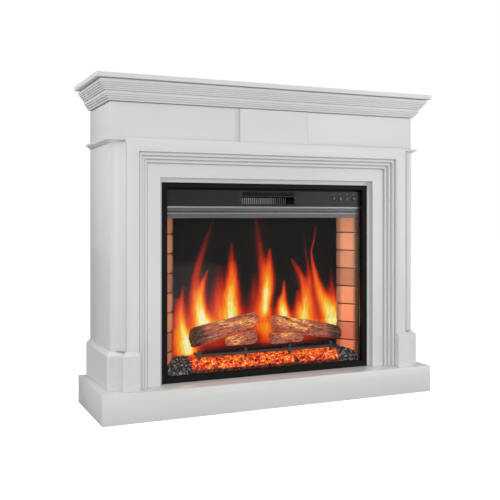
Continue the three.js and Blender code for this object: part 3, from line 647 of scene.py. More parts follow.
upper_low, upper_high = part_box("crown_upper_moulding")
foot = upper_low.z
out = upper_high.x - BODY_HALF
recess = upper_high.z - RECESS_RISE
lip = recess - UPPER_LIP
upper_profile = [(foot, UPPER_FOOT_OUT), (foot + UPPER_FOOT_RISE, UPPER_FOOT_OUT)]
upper_profile += fillets((foot + UPPER_FOOT_RISE, UPPER_START), (lip, out - LIP_REACH), 4)
upper_profile += [(lip, out - LIP_EASE), (lip + LIP_EASE, out),
                  (recess - RIM_EASE, out), (recess, out - RIM_EASE),
                  (recess, RECESS_OUT), (upper_high.z, RECESS_OUT)]
for name, profile in (("crown_lower_moulding", lower_profile),
                      ("crown_upper_moulding", upper_profile)):
    wrap = stacked(crown_plan, profile)
    piece = piece_from(name.replace("moulding", "fillets"), wrap, WHITE, BODY)
    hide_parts(name)
    print(piece.name, len(profile), "profile points")

# %% [markdown]
# The cross board at the back is bare fibreboard, pale brown and a little fibrous, because
# nobody sees it once the mantel stands against the wall.

# %% Raw fibreboard


def make_fibreboard():
    finish = Finish("raw_fibreboard", IOR=1.4)
    fibres = finish.streaks((160.0, 420.0, 420.0))
    cloud = finish.noise(14.0, 3.0)
    colour = finish.drift(0.6 * fibres + 0.4 * cloud, (0.40, 0.30, 0.20), (0.56, 0.45, 0.32))
    relief = finish.bump(fibres, 0.4, 0.6 * MM)
    return finish.feeds(Base_Color=colour, Roughness=0.75 + 0.15 * fibres, Normal=relief)


eased("rear_rail", make_fibreboard(), width=0.6 * MM)

# %% [markdown]
# ## Patterns that repeat
# Screws, crumbs of ember and coal are one small shape set down many times. Geometry Nodes
# say that in a few nodes: points, an instance on each, a random turn and size. The class
# `Pattern` builds such a tree with named inputs. It runs the tree on a carrier mesh, keeps
# the result as a plain mesh and throws the modifier away, so nothing live is left.

# %% A Geometry Nodes tree with named inputs


class Pattern:
    """A Geometry Nodes tree that ends in Realize Instances and Set Material."""

    def __init__(self, name):
        self.tree = bpy.data.node_groups.new(name, "GeometryNodeTree")
        self.tree.interface.new_socket("Carrier", in_out="INPUT", socket_type="NodeSocketGeometry")
        self.tree.interface.new_socket("Result", in_out="OUTPUT", socket_type="NodeSocketGeometry")
        self.inlet = self.tree.nodes.new("NodeGroupInput")
        self.identifiers = {}

    def number(self, name, kind="Float"):
        """A named input of the tree."""
        socket = self.tree.interface.new_socket(name, in_out="INPUT", socket_type="NodeSocket" + kind)
        self.identifiers[name] = socket.identifier
        return self.inlet.outputs[name]

    def node(self, kind, settings=None, inputs=None):
        """Any node: settings first, then values or links by the name or number of the socket."""
        made = self.tree.nodes.new(kind)
        for name, value in (settings or {}).items():
            setattr(made, name, value)
        for name, value in (inputs or {}).items():
            if isinstance(value, bpy.types.NodeSocket):
                self.tree.links.new(value, made.inputs[name])
            else:
                made.inputs[name].default_value = value
        return made

    def ends_with(self, geometry, material):
        """Realizes the instances, gives them the material and closes the tree."""
        real = self.node("GeometryNodeRealizeInstances", {}, {0: geometry})
        dressed = self.node("GeometryNodeSetMaterial", {}, {0: real.outputs[0], "Material": material})
        outlet = self.tree.nodes.new("NodeGroupOutput")
        self.tree.links.new(dressed.outputs[0], outlet.inputs[0])

    def run(self, name, carrier, body, slot, values):
        """The tree's result on a carrier mesh as a plain piece that rides on a body."""
        piece = bpy.data.objects.new(name, carrier)
        bpy.context.scene.collection.objects.link(piece)
        modifier = piece.modifiers.new("pattern", "NODES")
        modifier.node_group = self.tree
        for label, value in values.items():
            modifier[self.identifiers[label]] = value
        depsgraph = bpy.context.evaluated_depsgraph_get()
        mesh = bpy.data.meshes.new_from_object(piece.evaluated_get(depsgraph))
        piece.modifiers.remove(modifier)
        piece.data = mesh
        mesh.name = name
        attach(piece, body)
        print(name, len(mesh.polygons), "faces")
        return piece


def points_mesh(name, points):
    """A carrier of loose points."""
    mesh = bpy.data.meshes.new(name)
    mesh.from_pydata([tuple(p) for p in points], [], [])
    return mesh


# %% [markdown]
# ## The fire's black front
# The frame and the ceiling are sheet steel with a satin black powder coat: nearly black,
# with a fine grain and a broad soft highlight. The control strip and the guard over its
# hot-air outlet are gloss black. The trim under them is brushed aluminium, so its streaks
# run along the strip. The edges are eased by about half a millimetre, and those of the
# trim and the grate by a little over one, enough to draw a light line.

# %% Black, bright and grey metals


def make_powder_coat(name, base, roughness, gloss=0.34):
    finish = Finish(name, IOR=1.5, Specular_IOR_Level=gloss)
    grain = finish.noise(900.0, 2.0)
    cloud = finish.noise(9.0, 2.0)
    dark = tuple(0.75 * part for part in base)
    sheen = roughness - 0.06 + 0.12 * grain
    relief = finish.bump(grain, 0.25, 0.2 * MM)
    return finish.feeds(Base_Color=finish.drift(cloud, dark, base), Roughness=sheen, Normal=relief)


def brushed(finish, colour, streaks, roughness):
    """The finished metal: its streaks vary the sheen and stand a little proud."""
    relief = finish.bump(streaks, 0.12, 0.2 * MM)
    return finish.feeds(Base_Color=colour, Roughness=roughness + 0.14 * streaks, Normal=relief)


ALONG_X = (6.0, 900.0, 900.0)


def make_brushed_metal(name, dark, light, roughness, stretch=ALONG_X):
    finish = Finish(name, Metallic=1.0)
    streaks = finish.streaks(stretch)
    return brushed(finish, finish.drift(streaks, dark, light), streaks, roughness)


BLACK = make_powder_coat("black_powder_coat", (0.003, 0.003, 0.0035), 0.50, gloss=0.16)
GLOSS_BLACK = make_powder_coat("control_strip_black", (0.014, 0.014, 0.015), 0.34)
BRIGHT = make_brushed_metal("brushed_trim", (0.30, 0.30, 0.305), (0.50, 0.50, 0.51), 0.34)
ZINC = make_brushed_metal(
    "zinc_sheet", (0.42, 0.43, 0.44), (0.62, 0.63, 0.64), 0.34, stretch=(9.0, 9.0, 14.0))
IRON = make_powder_coat("grate_iron", (0.075, 0.085, 0.072), 0.62)
MOTOR_STEEL = make_brushed_metal(
    "motor_steel", (0.35, 0.35, 0.34), (0.6, 0.6, 0.58), 0.3, stretch=(300, 40, 40))
# The near-black that is painted where shade falls: in the header's groove and between the heater's fins.
PAINTED_SHADE_BLACK = (0.012, 0.012, 0.012)

# Millimetres over the header's lower edge: where a line starts, is full, fades and ends.
HEADER_GROOVE_SHADE = (16.8, 17.2, 19.6, 20.2)
HEADER_LIP_HIGHLIGHT = (13.4, 14.0, 16.6, 17.0)


def make_header_steel():
    """Grey sheet with a painted line of shade for a groove and a painted highlight for a lip under it.
    """
    finish = Finish("header_steel", Metallic=1.0)
    height = finish.axes()[2]
    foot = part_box("firebox_header")[0].z
    streaks = finish.streaks(ALONG_X)
    # Painted shade and painted highlight: a near-black band of colour stands for the shade in a groove,
    # and a pale band stands for the light on a lip under it.
    groove = height.band(*(foot + up * MM for up in HEADER_GROOVE_SHADE))
    lip = height.band(*(foot + up * MM for up in HEADER_LIP_HIGHLIGHT))
    sheet = finish.drift(streaks, (0.14, 0.14, 0.145), (0.27, 0.27, 0.28))
    shaded = finish.mix(groove, sheet, PAINTED_SHADE_BLACK)
    colour = finish.mix(lip * 0.8, shaded, (0.55, 0.55, 0.56))
    return brushed(finish, colour, streaks, 0.42)


GREY = make_header_steel()
METAL_EASE = 0.5 * MM
for part in ("front_frame", "firebox_ceiling"):
    eased(part, BLACK, METAL_EASE).data.shade_flat()
eased("control_fascia", GLOSS_BLACK, METAL_EASE).data.shade_flat()
eased("outlet_trim", BRIGHT, width=1.2 * MM)
eased("firebox_header", GREY, METAL_EASE).data.shade_flat()
eased("log_grate", IRON, width=1.2 * MM)
for part in ("casing_base", "casing_top", "casing_left", "casing_right", "blower_housing"):
    dress(part, ZINC)

# %% [markdown]
# Behind the outlet guard a folded black duct leads back to the heater. The heater's fins are bare at
# their front edges, and further in their colour is painted dark for the shade between them, which is
# why they read as a row of bright teeth. A strip of black foam closes the gap over the control strip.

# %% Outlet duct and heater fins
DUCT_SHEET = 1.2 * MM
DUCT_CLEAR = 2 * MM
DUCT_SET_BACK = 3 * MM
SEAL_GAP = 0.4 * MM
SEAL_DEPTH = 4 * MM
SEAL_EASE = 0.8 * MM
CASING_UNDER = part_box("casing_top")[0].z

outlet_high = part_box("outlet_guard")[1]
half = outlet_high.x - DUCT_CLEAR
floor_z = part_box("firebox_ceiling")[1].z + MM
top = CASING_UNDER - DUCT_SET_BACK
inner_half, inner_top = half - DUCT_SHEET, top - DUCT_SHEET
plan = [(-half, floor_z), (-half, top), (half, top), (half, floor_z),
        (inner_half, floor_z), (inner_half, inner_top), (-inner_half, inner_top), (-inner_half, floor_z)]
ends = (outlet_high.y + DUCT_SET_BACK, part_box("blower_housing")[0].y - DUCT_CLEAR)
duct = closed_loft([[(x, y, z) for x, z in plan] for y in ends])
piece_from("outlet_duct", duct, BLACK, BODY)

strip_low, strip_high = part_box("control_fascia")
near, far = strip_high.y + SEAL_GAP, strip_high.y + SEAL_DEPTH
low, high = strip_high.z + SEAL_GAP, CASING_UNDER - SEAL_GAP
plan = [(near, low), (far, low), (far, high), (near, high)]
ends = (strip_low.x + MM, strip_high.x - MM)
seal = closed_loft([[(x, y, z) for y, z in plan] for x in ends])
ease(seal, SEAL_EASE)
piece_from("foam_seal", seal, BLACK, BODY)


def make_fin_metal():
    finish = Finish("fin_aluminium", Metallic=0.6)
    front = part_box("heater_fin_pack")[0].y
    # Painted shade: from one to about two and a half millimetres behind their front edges, the fins turn
    # near-black for the shade between them.
    painted_fin_shade = finish.axes()[1].smooth(front + 1.0 * MM, front + 2.4 * MM)
    streaks = finish.streaks((900.0, 900.0, 20.0))
    bare = finish.drift(streaks, (0.80, 0.80, 0.81), (0.95, 0.95, 0.96))
    return brushed(finish, finish.mix(painted_fin_shade, bare, PAINTED_SHADE_BLACK), streaks, 0.34)


FIN_METAL = make_fin_metal()

# %% [markdown]
# ## The glass
# The pane is clear toughened glass, slightly smoked. Thin clear glass is best described by
# its alpha: light goes straight through, and the little that stays is a dark, very smooth
# surface that mirrors the room.

# %% Glass pane


def make_pane_glass():
    finish = Finish("pane_glass", IOR=1.5)
    smears = finish.noise(7.0, 4.0, 0.55, 0.4)
    return finish.feeds(
        Base_Color=finish.drift(smears, (0.010, 0.011, 0.012), (0.016, 0.017, 0.018)),
        Roughness=0.03 + 0.05 * smears,
        Alpha=0.07 + 0.03 * smears,
    )


PANE = make_pane_glass()
eased("glass_pane", PANE, METAL_EASE)
# %% [markdown]
# ## Brick lining
# The side walls are lined with long, slim bricks: one brick is one course. Each has a worn
# edge, its own tint and a slightly uneven face, with a deep dark joint between courses. A
# brick is lofted across the splayed wall from its plan, and Geometry Nodes would only
# repeat one brick, while these differ, so a loop makes them with seeded random numbers.

# %% Brick courses on the splayed walls
WALL_LOW, WALL_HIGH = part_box("brick_wall_right")
SCREEN_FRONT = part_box("flame_screen")[0].y
WALL_FRONT = (0.3378, -0.0564)
WALL_BACK = (0.2902, 0.0100)
COURSE = 0.0603
JOINT = 3.8 * MM
FIRST_JOINT = 0.1075
BRICK_DEPTH = 5 * MM
MORTAR_DEPTH = 4 * MM
BRICK_ROWS = 7
BRICK_COLUMNS = 11
BRICK_ENDS = (0.012, 0.988)
WORN_EDGE = 4.6 * MM
WORN_DEPTH = 2.4 * MM


def wall_point(side, along, depth):
    """A plan point: along 0 at the glass and 1 at the screen, depth into the wall."""
    (x0, y0), (x1, y1) = WALL_FRONT, WALL_BACK
    run = Vector((x1 - x0, y1 - y0))
    normal = Vector((-run.y, run.x)).normalized() * -1
    spot = Vector((x0, y0)) + run * along + normal * depth
    return Vector((side * spot.x, spot.y))


def add_brick(bm, side, base, top, rng):
    """One brick with a worn edge, its back flush in the mortar."""
    grid = []
    phase = rng.uniform(0, 40)
    for row in range(BRICK_ROWS + 1):
        up = row / BRICK_ROWS
        edge = min(up, 1 - up) * (top - base)
        worn = max(0.0, 1 - edge / WORN_EDGE)
        line = []
        for column in range(BRICK_COLUMNS + 1):
            along = BRICK_ENDS[0] + 0.976 * column / BRICK_COLUMNS
            dent = noise.noise(Vector((phase, along * 9, up * 5))) * 0.6 * MM
            depth = 0.3 * MM + worn ** 2 * WORN_DEPTH + abs(dent)
            spot = wall_point(side, along, depth)
            z = base + up * (top - base) + noise.noise(Vector((along * 6, phase, row))) * 0.4 * MM
            line.append(bm.verts.new((spot.x, spot.y, z)))
        grid.append(line)
    near, far = BRICK_ENDS
    back = []
    for along, z in ((near, base), (far, base), (far, top), (near, top)):
        spot = wall_point(side, along, BRICK_DEPTH)
        back.append(bm.verts.new((spot.x, spot.y, z)))
    add_grid(bm, grid)
    close_grid(bm, grid, back)


# The strength of the ember light painted on the bricks.
PAINTED_BRICK_GLOW = 1.2


def make_brick_finish():
    """Bricks with painted shade at both ends of the wall and a painted glow of ember light, each in its
    own tint.
    """
    finish = Finish("fired_brick", IOR=1.4, Emission_Strength=PAINTED_BRICK_GLOW)
    x, y, z = finish.axes()
    course = ((z - FIRST_JOINT) / COURSE).math("FLOOR")
    tint = finish.value("ShaderNodeTexWhiteNoise", {"noise_dimensions": "1D"}, {"W": course},
                        output="Value")
    grit = finish.noise(420.0, 4.0, 0.6)
    stain = finish.noise(24.0, 3.0, 0.6)
    fired = finish.ramp(0.5 * stain + 0.5 * tint, (0.2, (0.42, 0.17, 0.10)),
                        (0.55, (0.56, 0.25, 0.15)), (0.85, (0.66, 0.34, 0.21)))
    gritty = finish.mix(grit.smooth(0.45, 0.75) * 0.35, fired, (0.25, 0.12, 0.08))
    # Painted shade: near the glass, and less near the screen, the bricks are coloured dark grey-green
    # where the wall lies in shade.
    painted_front_shade = (0 - y).smooth(0.036, 0.050)
    painted_back_shade = y.smooth(-0.010, 0.006) * 0.62
    painted_shade = (painted_front_shade * 0.93 + painted_back_shade).clamped()
    colour = finish.mix(painted_shade, gritty, (0.040, 0.045, 0.032))
    # Painted light: the bricks glow by emission for the ember light on them. The glow is stronger low
    # down, on the right wall and away from the shaded ends.
    lamplit = 0.42 + 0.58 * x.smooth(-0.05, 0.05)
    glow = (1 - painted_shade) * (0.55 + 0.45 * tint) * (1.15 - 0.7 * (z - 0.1)).clamped() * lamplit
    ember_lit = finish.mix(z.smooth(0.14, 0.42), (0.70, 0.13, 0.05), (0.62, 0.22, 0.10))
    painted_ember_light = finish.mix(glow.clamped(), (0, 0, 0), ember_lit)
    relief = finish.bump(grit * 0.5 + stain, 0.5, 1.2 * MM)
    return finish.feeds(Base_Color=colour, Roughness=0.72 + 0.2 * grit,
                        Emission_Color=painted_ember_light, Normal=relief)


BRICK = make_brick_finish()


def make_mortar_finish():
    finish = Finish("mortar", IOR=1.4)
    sand = finish.noise(700.0, 3.0)
    colour = finish.drift(sand, (0.025, 0.018, 0.014), (0.06, 0.04, 0.03))
    relief = finish.bump(sand, 0.6, 0.8 * MM)
    return finish.feeds(Base_Color=colour, Roughness=0.85 + 0.1 * sand, Normal=relief)


MORTAR = make_mortar_finish()


BED_THICKNESS = 9 * MM
BED_BEND_Y = -0.018
THIN_BRICK = 8 * MM


def add_brick_wall(word, side):
    """A mortar bed with its courses: bricks that stand a few millimetres in front of it."""
    rng = random.Random(41 + side)
    bm = bmesh.new()
    plan = [wall_point(side, 0, MORTAR_DEPTH), wall_point(side, 1, MORTAR_DEPTH)]
    outer = side * (WALL_HIGH.x - 0.3 * MM)
    plan += [Vector((side * (WALL_BACK[0] + BED_THICKNESS), WALL_BACK[1])),
             Vector((outer, BED_BEND_Y)), Vector((outer, WALL_FRONT[1]))]
    add_loft(bm, [[(p.x, p.y, z) for p in plan] for z in (WALL_LOW.z, WALL_HIGH.z)])
    backing = set(bm.faces)
    base = FIRST_JOINT
    bottoms = [WALL_LOW.z]
    while base < WALL_HIGH.z - THIN_BRICK:
        bottoms.append(base)
        base += COURSE
    for low, high in zip(bottoms, bottoms[1:] + [WALL_HIGH.z + JOINT]):
        add_brick(bm, side, low + JOINT / 2, high - JOINT / 2, rng)
    bmesh.ops.recalc_face_normals(bm, faces=bm.faces)
    for face in bm.faces:
        face.material_index = 0 if face in backing else 1
    piece = piece_from("brick_lining_" + word, bm, MORTAR, BODY)
    piece.data.materials.append(BRICK)
    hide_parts("brick_wall_" + word)
    print(piece.name, len(bottoms), "courses")


add_brick_wall("left", -1)
add_brick_wall("right", 1)

# %% [markdown]
# ## The flame picture
# Behind the logs stands a satin screen. Lamps and a turning foil spindle throw a moving
# flame on it from behind, so the flames really are a flat picture made of light. Here each
# tongue is a few knots from its tip down: how far along, how high, and how wide. The heat
# of all tongues is summed at every point of a fine grid and kept as an attribute, and the
# material turns heat into colour: dark red, red, orange, yellow and a nearly white core.

# %% Flame tongues: (x, z, half width) in millimetres from the tip down, then the heat
TONGUES = [
    ([(-262, 372, 3), (-266, 320, 8), (-262, 278, 11), (-254, 234, 15), (-242, 200, 19),
      (-238, 160, 24)], 0.25, 1.05),
    ([(-282, 330, 4), (-278, 258, 13), (-272, 210, 22), (-264, 160, 32)], 0.3, 0.62),
    ([(-160, 572, 3), (-176, 520, 8), (-190, 474, 12), (-208, 430, 14), (-220, 388, 16), (-222, 340, 20),
      (-216, 292, 25), (-200, 240, 36)], 0.16, 0.66),
    ([(-176, 414, 3), (-192, 378, 9), (-202, 344, 15), (-202, 310, 17), (-196, 274, 20),
      (-184, 236, 26)], 0.34, 1.08),
    ([(-136, 432, 8), (-140, 376, 20), (-138, 324, 25), (-136, 272, 28), (-134, 232, 30)], 0.16, 0.62),
    ([(-92, 500, 3), (-92, 454, 11), (-94, 414, 15), (-98, 370, 18), (-99, 322, 20), (-98, 270, 21),
      (-96, 236, 23)], 0.22, 1.05),
    ([(-84, 440, 6), (-84, 370, 14), (-82, 300, 22), (-80, 240, 28)], 0.1, 0.55),
    ([(-12, 606, 4), (-2, 536, 11), (4, 492, 13), (8, 446, 14), (16, 406, 15),
      (24, 352, 14)], 0.14, 0.46),
    ([(40, 480, 3), (36, 438, 12), (36, 396, 17), (34, 356, 18), (28, 316, 17),
      (22, 286, 14)], 0.34, 1.05),
    ([(-14, 400, 5), (-12, 328, 20), (-2, 282, 34), (8, 230, 44)], 0.1, 0.52),
    ([(94, 374, 3), (90, 332, 9), (84, 304, 15), (88, 278, 19), (94, 248, 22)], 0.36, 1.22),
    ([(122, 446, 3), (144, 408, 11), (160, 374, 15), (168, 338, 14), (172, 302, 13),
      (170, 250, 15)], 0.3, 0.90),
    ([(168, 520, 3), (174, 462, 5), (182, 416, 7), (188, 356, 10), (192, 290, 16),
      (196, 226, 26)], 0.16, 0.58),
    ([(212, 552, 3), (208, 502, 4), (196, 466, 4), (202, 420, 7), (214, 372, 13), (232, 326, 22),
      (254, 284, 29), (272, 240, 32), (284, 205, 34)], 0.22, 1.02),
    ([(142, 340, 4), (146, 294, 15), (152, 250, 22)], 0.2, 0.68),
    ([(270, 410, 3), (274, 362, 9), (278, 324, 16), (286, 286, 29), (294, 240, 42)], 0.14, 0.62),
    ([(24, 350, 3), (26, 316, 10), (27, 282, 19), (28, 236, 30), (30, 190, 26)], 0.05, 0.44),
    ([(-150, 236, 70), (-150, 205, 105), (-150, 185, 110)], 0.2, 0.42),
    ([(150, 236, 70), (150, 205, 105), (150, 185, 110)], 0.2, 0.42),
]
FLAME_FOOT = 0.150
FOOT_FADE = 45
PICTURE_FADE = 0.02
FLAME_LIGHT = 1.05


def knots_at(knots, height):
    """Middle, half width, share of the way down and strength at a height, or None."""
    if height >= knots[0][1] or height <= knots[-1][1] - FOOT_FADE:
        return None
    for upper, lower in zip(knots, knots[1:]):
        if height >= lower[1]:
            share = (upper[1] - height) / (upper[1] - lower[1])
            blend = [a + share * (b - a) for a, b in zip(upper, lower)]
            break
    else:
        blend = knots[-1]
    down = (knots[0][1] - height) / (knots[0][1] - knots[-1][1])
    below = max(0.0, knots[-1][1] - height) / FOOT_FADE
    return blend[0], blend[2], min(down, 1.0), 1 - below ** 2 * (3 - 2 * below)


def flame_heat(x, z):
    """How hot the picture is at a place on the screen."""
    height = z / MM
    sway = noise.noise(Vector((x * 14, 3.1, z * 7))) * 7
    along = x / MM + sway
    cold = 1.0
    haze = 0.0
    for knots, tip_heat, base_heat in TONGUES:
        found = knots_at(knots, height)
        if found is None:
            continue
        middle, half, down, strength = found
        off = (along - middle) / (half * 1.25)
        if abs(off) > 3.0:
            continue
        heat = tip_heat + (base_heat - tip_heat) * min(1.0, down * 1.25)
        body = strength * math.exp(-off ** 2 * 1.15)
        cold *= 1 - min(0.995, 0.74 * heat * body)
        haze += 0.055 * strength * math.exp(-(off / 2.2) ** 2)
    return (1 - cold) * 1.18 + min(haze, 0.16)


# %% The screen as a fine grid with its heat
SCREEN_STEP = 2.4 * MM


def add_flame_picture():
    """The screen's front as a fine grid that carries the heat, closed behind."""
    low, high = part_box("flame_screen")
    columns = round((high.x - low.x) / SCREEN_STEP)
    rows = round((high.z - low.z) / SCREEN_STEP)
    bm = bmesh.new()
    heat_layer = bm.verts.layers.float.new("blaze")
    grid = []
    for row in range(rows + 1):
        z = low.z + (high.z - low.z) * row / rows
        line = []
        for column in range(columns + 1):
            x = low.x + (high.x - low.x) * column / columns
            vert = bm.verts.new((x, low.y, z))
            fade = min(1.0, max(0.0, (z - FLAME_FOOT + PICTURE_FADE) / PICTURE_FADE))
            vert[heat_layer] = flame_heat(x, z) * fade
            line.append(vert)
        grid.append(line)
    add_grid(bm, grid)
    corners = ((low.x, low.z), (high.x, low.z), (high.x, high.z), (low.x, high.z))
    close_grid(bm, grid, [bm.verts.new((x, high.y, z)) for x, z in corners])
    bmesh.ops.recalc_face_normals(bm, faces=bm.faces)
    piece = piece_from("flame_picture", bm, FLAMES, BODY)
    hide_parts("flame_screen")
    print("flame picture", columns, "x", rows)


def make_flame_finish():
    finish = Finish("flame_picture", Roughness=0.7, Specular_IOR_Level=0.12,
                    Emission_Strength=FLAME_LIGHT)
    heat = finish.value("ShaderNodeAttribute", {"attribute_name": "blaze"}, output=2)
    wisps = finish.noise(1.0, 3.0, 0.55, 0.6, vector=finish.stretched((130.0, 30.0, 26.0)))
    lively = heat * (0.66 + 0.42 * wisps)
    colour = finish.ramp(
        lively, (0.0, (0.0022, 0.0016, 0.0012)), (0.12, (0.010, 0.003, 0.002)),
        (0.24, (0.085, 0.005, 0.004)), (0.40, (0.50, 0.020, 0.003)),
        (0.56, (0.90, 0.085, 0.004)), (0.70, (1.0, 0.24, 0.008)), (0.83, (1.0, 0.50, 0.03)),
        (0.94, (1.0, 0.78, 0.16)), (1.0, (1.0, 0.93, 0.52)))
    screen = finish.drift(wisps, (0.006, 0.006, 0.006), (0.012, 0.011, 0.010))
    return finish.feeds(Base_Color=screen, Emission_Color=colour)


FLAMES = make_flame_finish()
add_flame_picture()
# %% [markdown]
# ## Logs
# The logs are cast resin, painted as charred split wood: furrowed bark, a paler salmon
# flank where the fire has eaten the bark, dark ends, and cracks that lamps inside light up
# in orange and yellow. Each is lofted along the CAD log's own line, with furrows that are
# real relief, and the cracks are a stretched cell pattern in the material.

# %% Log shapes
LOG_RINGS = 90
LOG_SIDES = 56
END_WEAR = 5 * MM
END_WEAR_DEPTH = 2.2 * MM
END_RINGS = (0.82, 0.6, 0.36)


def log_line(node):
    """Both end centres and radii of a CAD log, from its end faces."""
    points = [vert.co.copy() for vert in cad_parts[node].data.vertices]
    ends = []
    for edge in (min(p.x for p in points), max(p.x for p in points)):
        ring = [p for p in points if abs(p.x - edge) < 1e-5]
        low = Vector([min(p[axis] for p in ring) for axis in range(3)])
        high = Vector([max(p[axis] for p in ring) for axis in range(3)])
        centre = (low + high) / 2
        ends.append((centre, (high.z - low.z) / 2))
    return ends


def bark_depth(along, angle, seed):
    """How far the bark is cut in at a place, in metres."""
    around = Vector((math.cos(angle), math.sin(angle), 0))
    spot = Vector((around.x * 2.6, around.y * 2.6, along * 15 + seed))
    twist = noise.noise(spot * 0.7) * 0.9
    furrow = abs(noise.noise(Vector((around.x * 5.5 + twist, around.y * 5.5, along * 24 + seed))))
    flake = abs(noise.noise(Vector((around.x * 9, around.y * 9 + seed, along * 70))))
    hollow = 0.5 + 0.5 * noise.noise(spot)
    return (2.6 * max(0.0, 1 - furrow * 4.5) + 1.1 * flake + 2.4 * hollow) * MM


def add_log(node, material, seed, belly):
    """A log with furrowed bark and rough sawn ends, standing for its CAD node."""
    (start, radius_start), (end, radius_end) = log_line(node)
    bm = bmesh.new()
    rings = []
    for step in range(LOG_RINGS + 1):
        share = step / LOG_RINGS
        centre = start.lerp(end, share)
        radius = radius_start + share * (radius_end - radius_start)
        radius *= 1 + belly * math.sin(math.pi * share)
        lip = min(share, 1 - share) * (end - start).length
        radius -= END_WEAR_DEPTH * max(0.0, 1 - lip / END_WEAR) ** 2
        ring = []
        for side in range(LOG_SIDES):
            angle = 2 * math.pi * side / LOG_SIDES
            reach = radius + 1.2 * MM - bark_depth((end - start).length * share, angle, seed)
            y = min(centre.y + reach * math.cos(angle), SCREEN_FRONT - 0.6 * MM)
            ragged = noise.noise(Vector((math.cos(angle) * 3, math.sin(angle) * 3, seed + 9 * share)))
            x = centre.x + ragged * 2.5 * MM * (abs(share - 0.5) * 2) ** 6
            ring.append(bm.verts.new((x, y, centre.z + reach * math.sin(angle))))
        rings.append(ring)
    for lower, upper in zip(rings, rings[1:]):
        add_band(bm, lower, upper)
    for ring, centre, inward in ((rings[0], start, 1), (rings[-1], end, -1)):
        outer = ring
        for share in END_RINGS:
            inner = []
            for vert in ring:
                spot = centre.lerp(vert.co, share)
                grain = noise.noise(Vector((spot.y * 160, spot.z * 160, seed)))
                spot.x += inward * (1.2 + 1.3 * grain) * MM
                inner.append(bm.verts.new(spot))
            add_band(bm, outer, inner)
            outer = inner
        heart = bm.verts.new(centre + Vector((inward * 2 * MM, 0, 0)))
        for side in range(LOG_SIDES):
            bm.faces.new((outer[side], outer[(side + 1) % LOG_SIDES], heart))
    bmesh.ops.recalc_face_normals(bm, faces=bm.faces)
    piece = piece_from(node + "_bark", bm, material, BODY)
    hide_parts(node)
    print(piece.name, "from", [round(v, 3) for v in start], "to", [round(v, 3) for v in end])


# Emission strength for the lamp-lit cracks and for the flame light painted on the flank.
BARK_GLOW = 1.1


def make_bark(name, slope, glow_middle, glow_reach, glow_gain, char):
    """Bark with glowing cracks round glow_middle, charred more and more along char in X, and a painted
    glow of flame light on its flank.
    """
    finish = Finish(name, IOR=1.4, Emission_Strength=BARK_GLOW)
    x, _, z = finish.axes()
    turned = finish.value("ShaderNodeMapping", {}, {"Vector": finish.place(), "Rotation": (0, slope, 0)})
    fibre = finish.noise(1.0, 4.0, 0.62, 0.5, vector=finish.stretched((30, 260, 260), turned))
    patches = finish.noise(1.0, 3.0, 0.6, 0.3, vector=finish.stretched((22, 60, 60), turned))
    splits = finish.cells(1.0, "DISTANCE_TO_EDGE", vector=finish.stretched((26, 120, 120), turned))
    fine = finish.cells(1.0, "DISTANCE_TO_EDGE", vector=finish.stretched((60, 300, 300), turned))
    flank = finish.ramp(fibre, (0.28, (0.075, 0.028, 0.020)), (0.42, (0.30, 0.080, 0.050)),
                        (0.56, (0.58, 0.18, 0.11)), (0.74, (0.80, 0.34, 0.24)))
    black = finish.ramp(fibre, (0.3, (0.012, 0.012, 0.010)), (0.55, (0.045, 0.046, 0.038)),
                        (0.8, (0.13, 0.13, 0.11)))
    charred = (x.smooth(*char) + (0.36 - patches) * 1.4).clamped()
    colour = finish.mix(charred, flank, black)
    crack = 1 - splits.smooth(0.012, 0.060)
    hair = 1 - fine.smooth(0.01, 0.055)
    dark_lines = (crack * 0.75 + hair * 0.5).clamped()
    colour = finish.mix(dark_lines, colour, (0.012, 0.008, 0.006))
    off_x = (x - glow_middle[0]) / glow_reach[0]
    off_z = (z - glow_middle[1]) / glow_reach[1]
    near = (1 - (off_x * off_x + off_z * off_z)).clamped()
    fire = (crack + hair * 0.6) * near * (patches.smooth(0.40, 0.64) * 1.25)
    heat = (fire * glow_gain).clamped()
    embers = finish.ramp(heat, (0.0, (0, 0, 0)), (0.35, (0.30, 0.03, 0.003)),
                         (0.7, (1.0, 0.27, 0.02)), (1.0, (1.0, 0.66, 0.12)))
    # Painted light: the uncharred flank glows in its own colour by emission, for the red light the
    # flames throw on it.
    painted_flame_light = finish.mix((1 - dark_lines) * (1 - charred) * 0.42, (0, 0, 0), flank)
    light = finish.mix(1.0, embers, painted_flame_light, "ADD")
    relief = finish.bump(fibre * 0.6 + splits.smooth(0.0, 0.12) * 0.8, 0.7, 2.2 * MM)
    return finish.feeds(Base_Color=colour, Roughness=0.62 + 0.25 * fibre,
                        Emission_Color=light, Normal=relief)


# For each log: slope, middle, reach and gain of its glow, where it chars, seed and belly.
LOGS = {
    "back_left": (0.20, (-0.100, 0.252), (0.125, 0.040), 1.5, (-0.165, -0.230), 3.7, 0.05),
    "front_left": (0.09, (-0.108, 0.200), (0.036, 0.022), 3.2, (-0.030, -0.010), 11.3, 0.10),
    "back_right": (-0.19, (0.112, 0.244), (0.085, 0.042), 2.3, (0.205, 0.262), 23.9, 0.12),
    "front_right": (-0.03, (0.085, 0.204), (0.050, 0.018), 1.6, (0.118, 0.150), 31.1, 0.08),
}
for word, (*look, seed, belly) in LOGS.items():
    add_log("log_" + word, make_bark("bark_" + word, *look), seed, belly)

# %% [markdown]
# ## Embers and coal
# Under the grate lies a bank of clear and amber resin crumbs, lit from below, with unlit
# coal gravel at both ends and along the front. The bank is a fine grid whose height is
# noise, and the crumbs and the gravel are scattered on it: low stones of twenty faces
# each, turned and sized at random with a fixed seed.

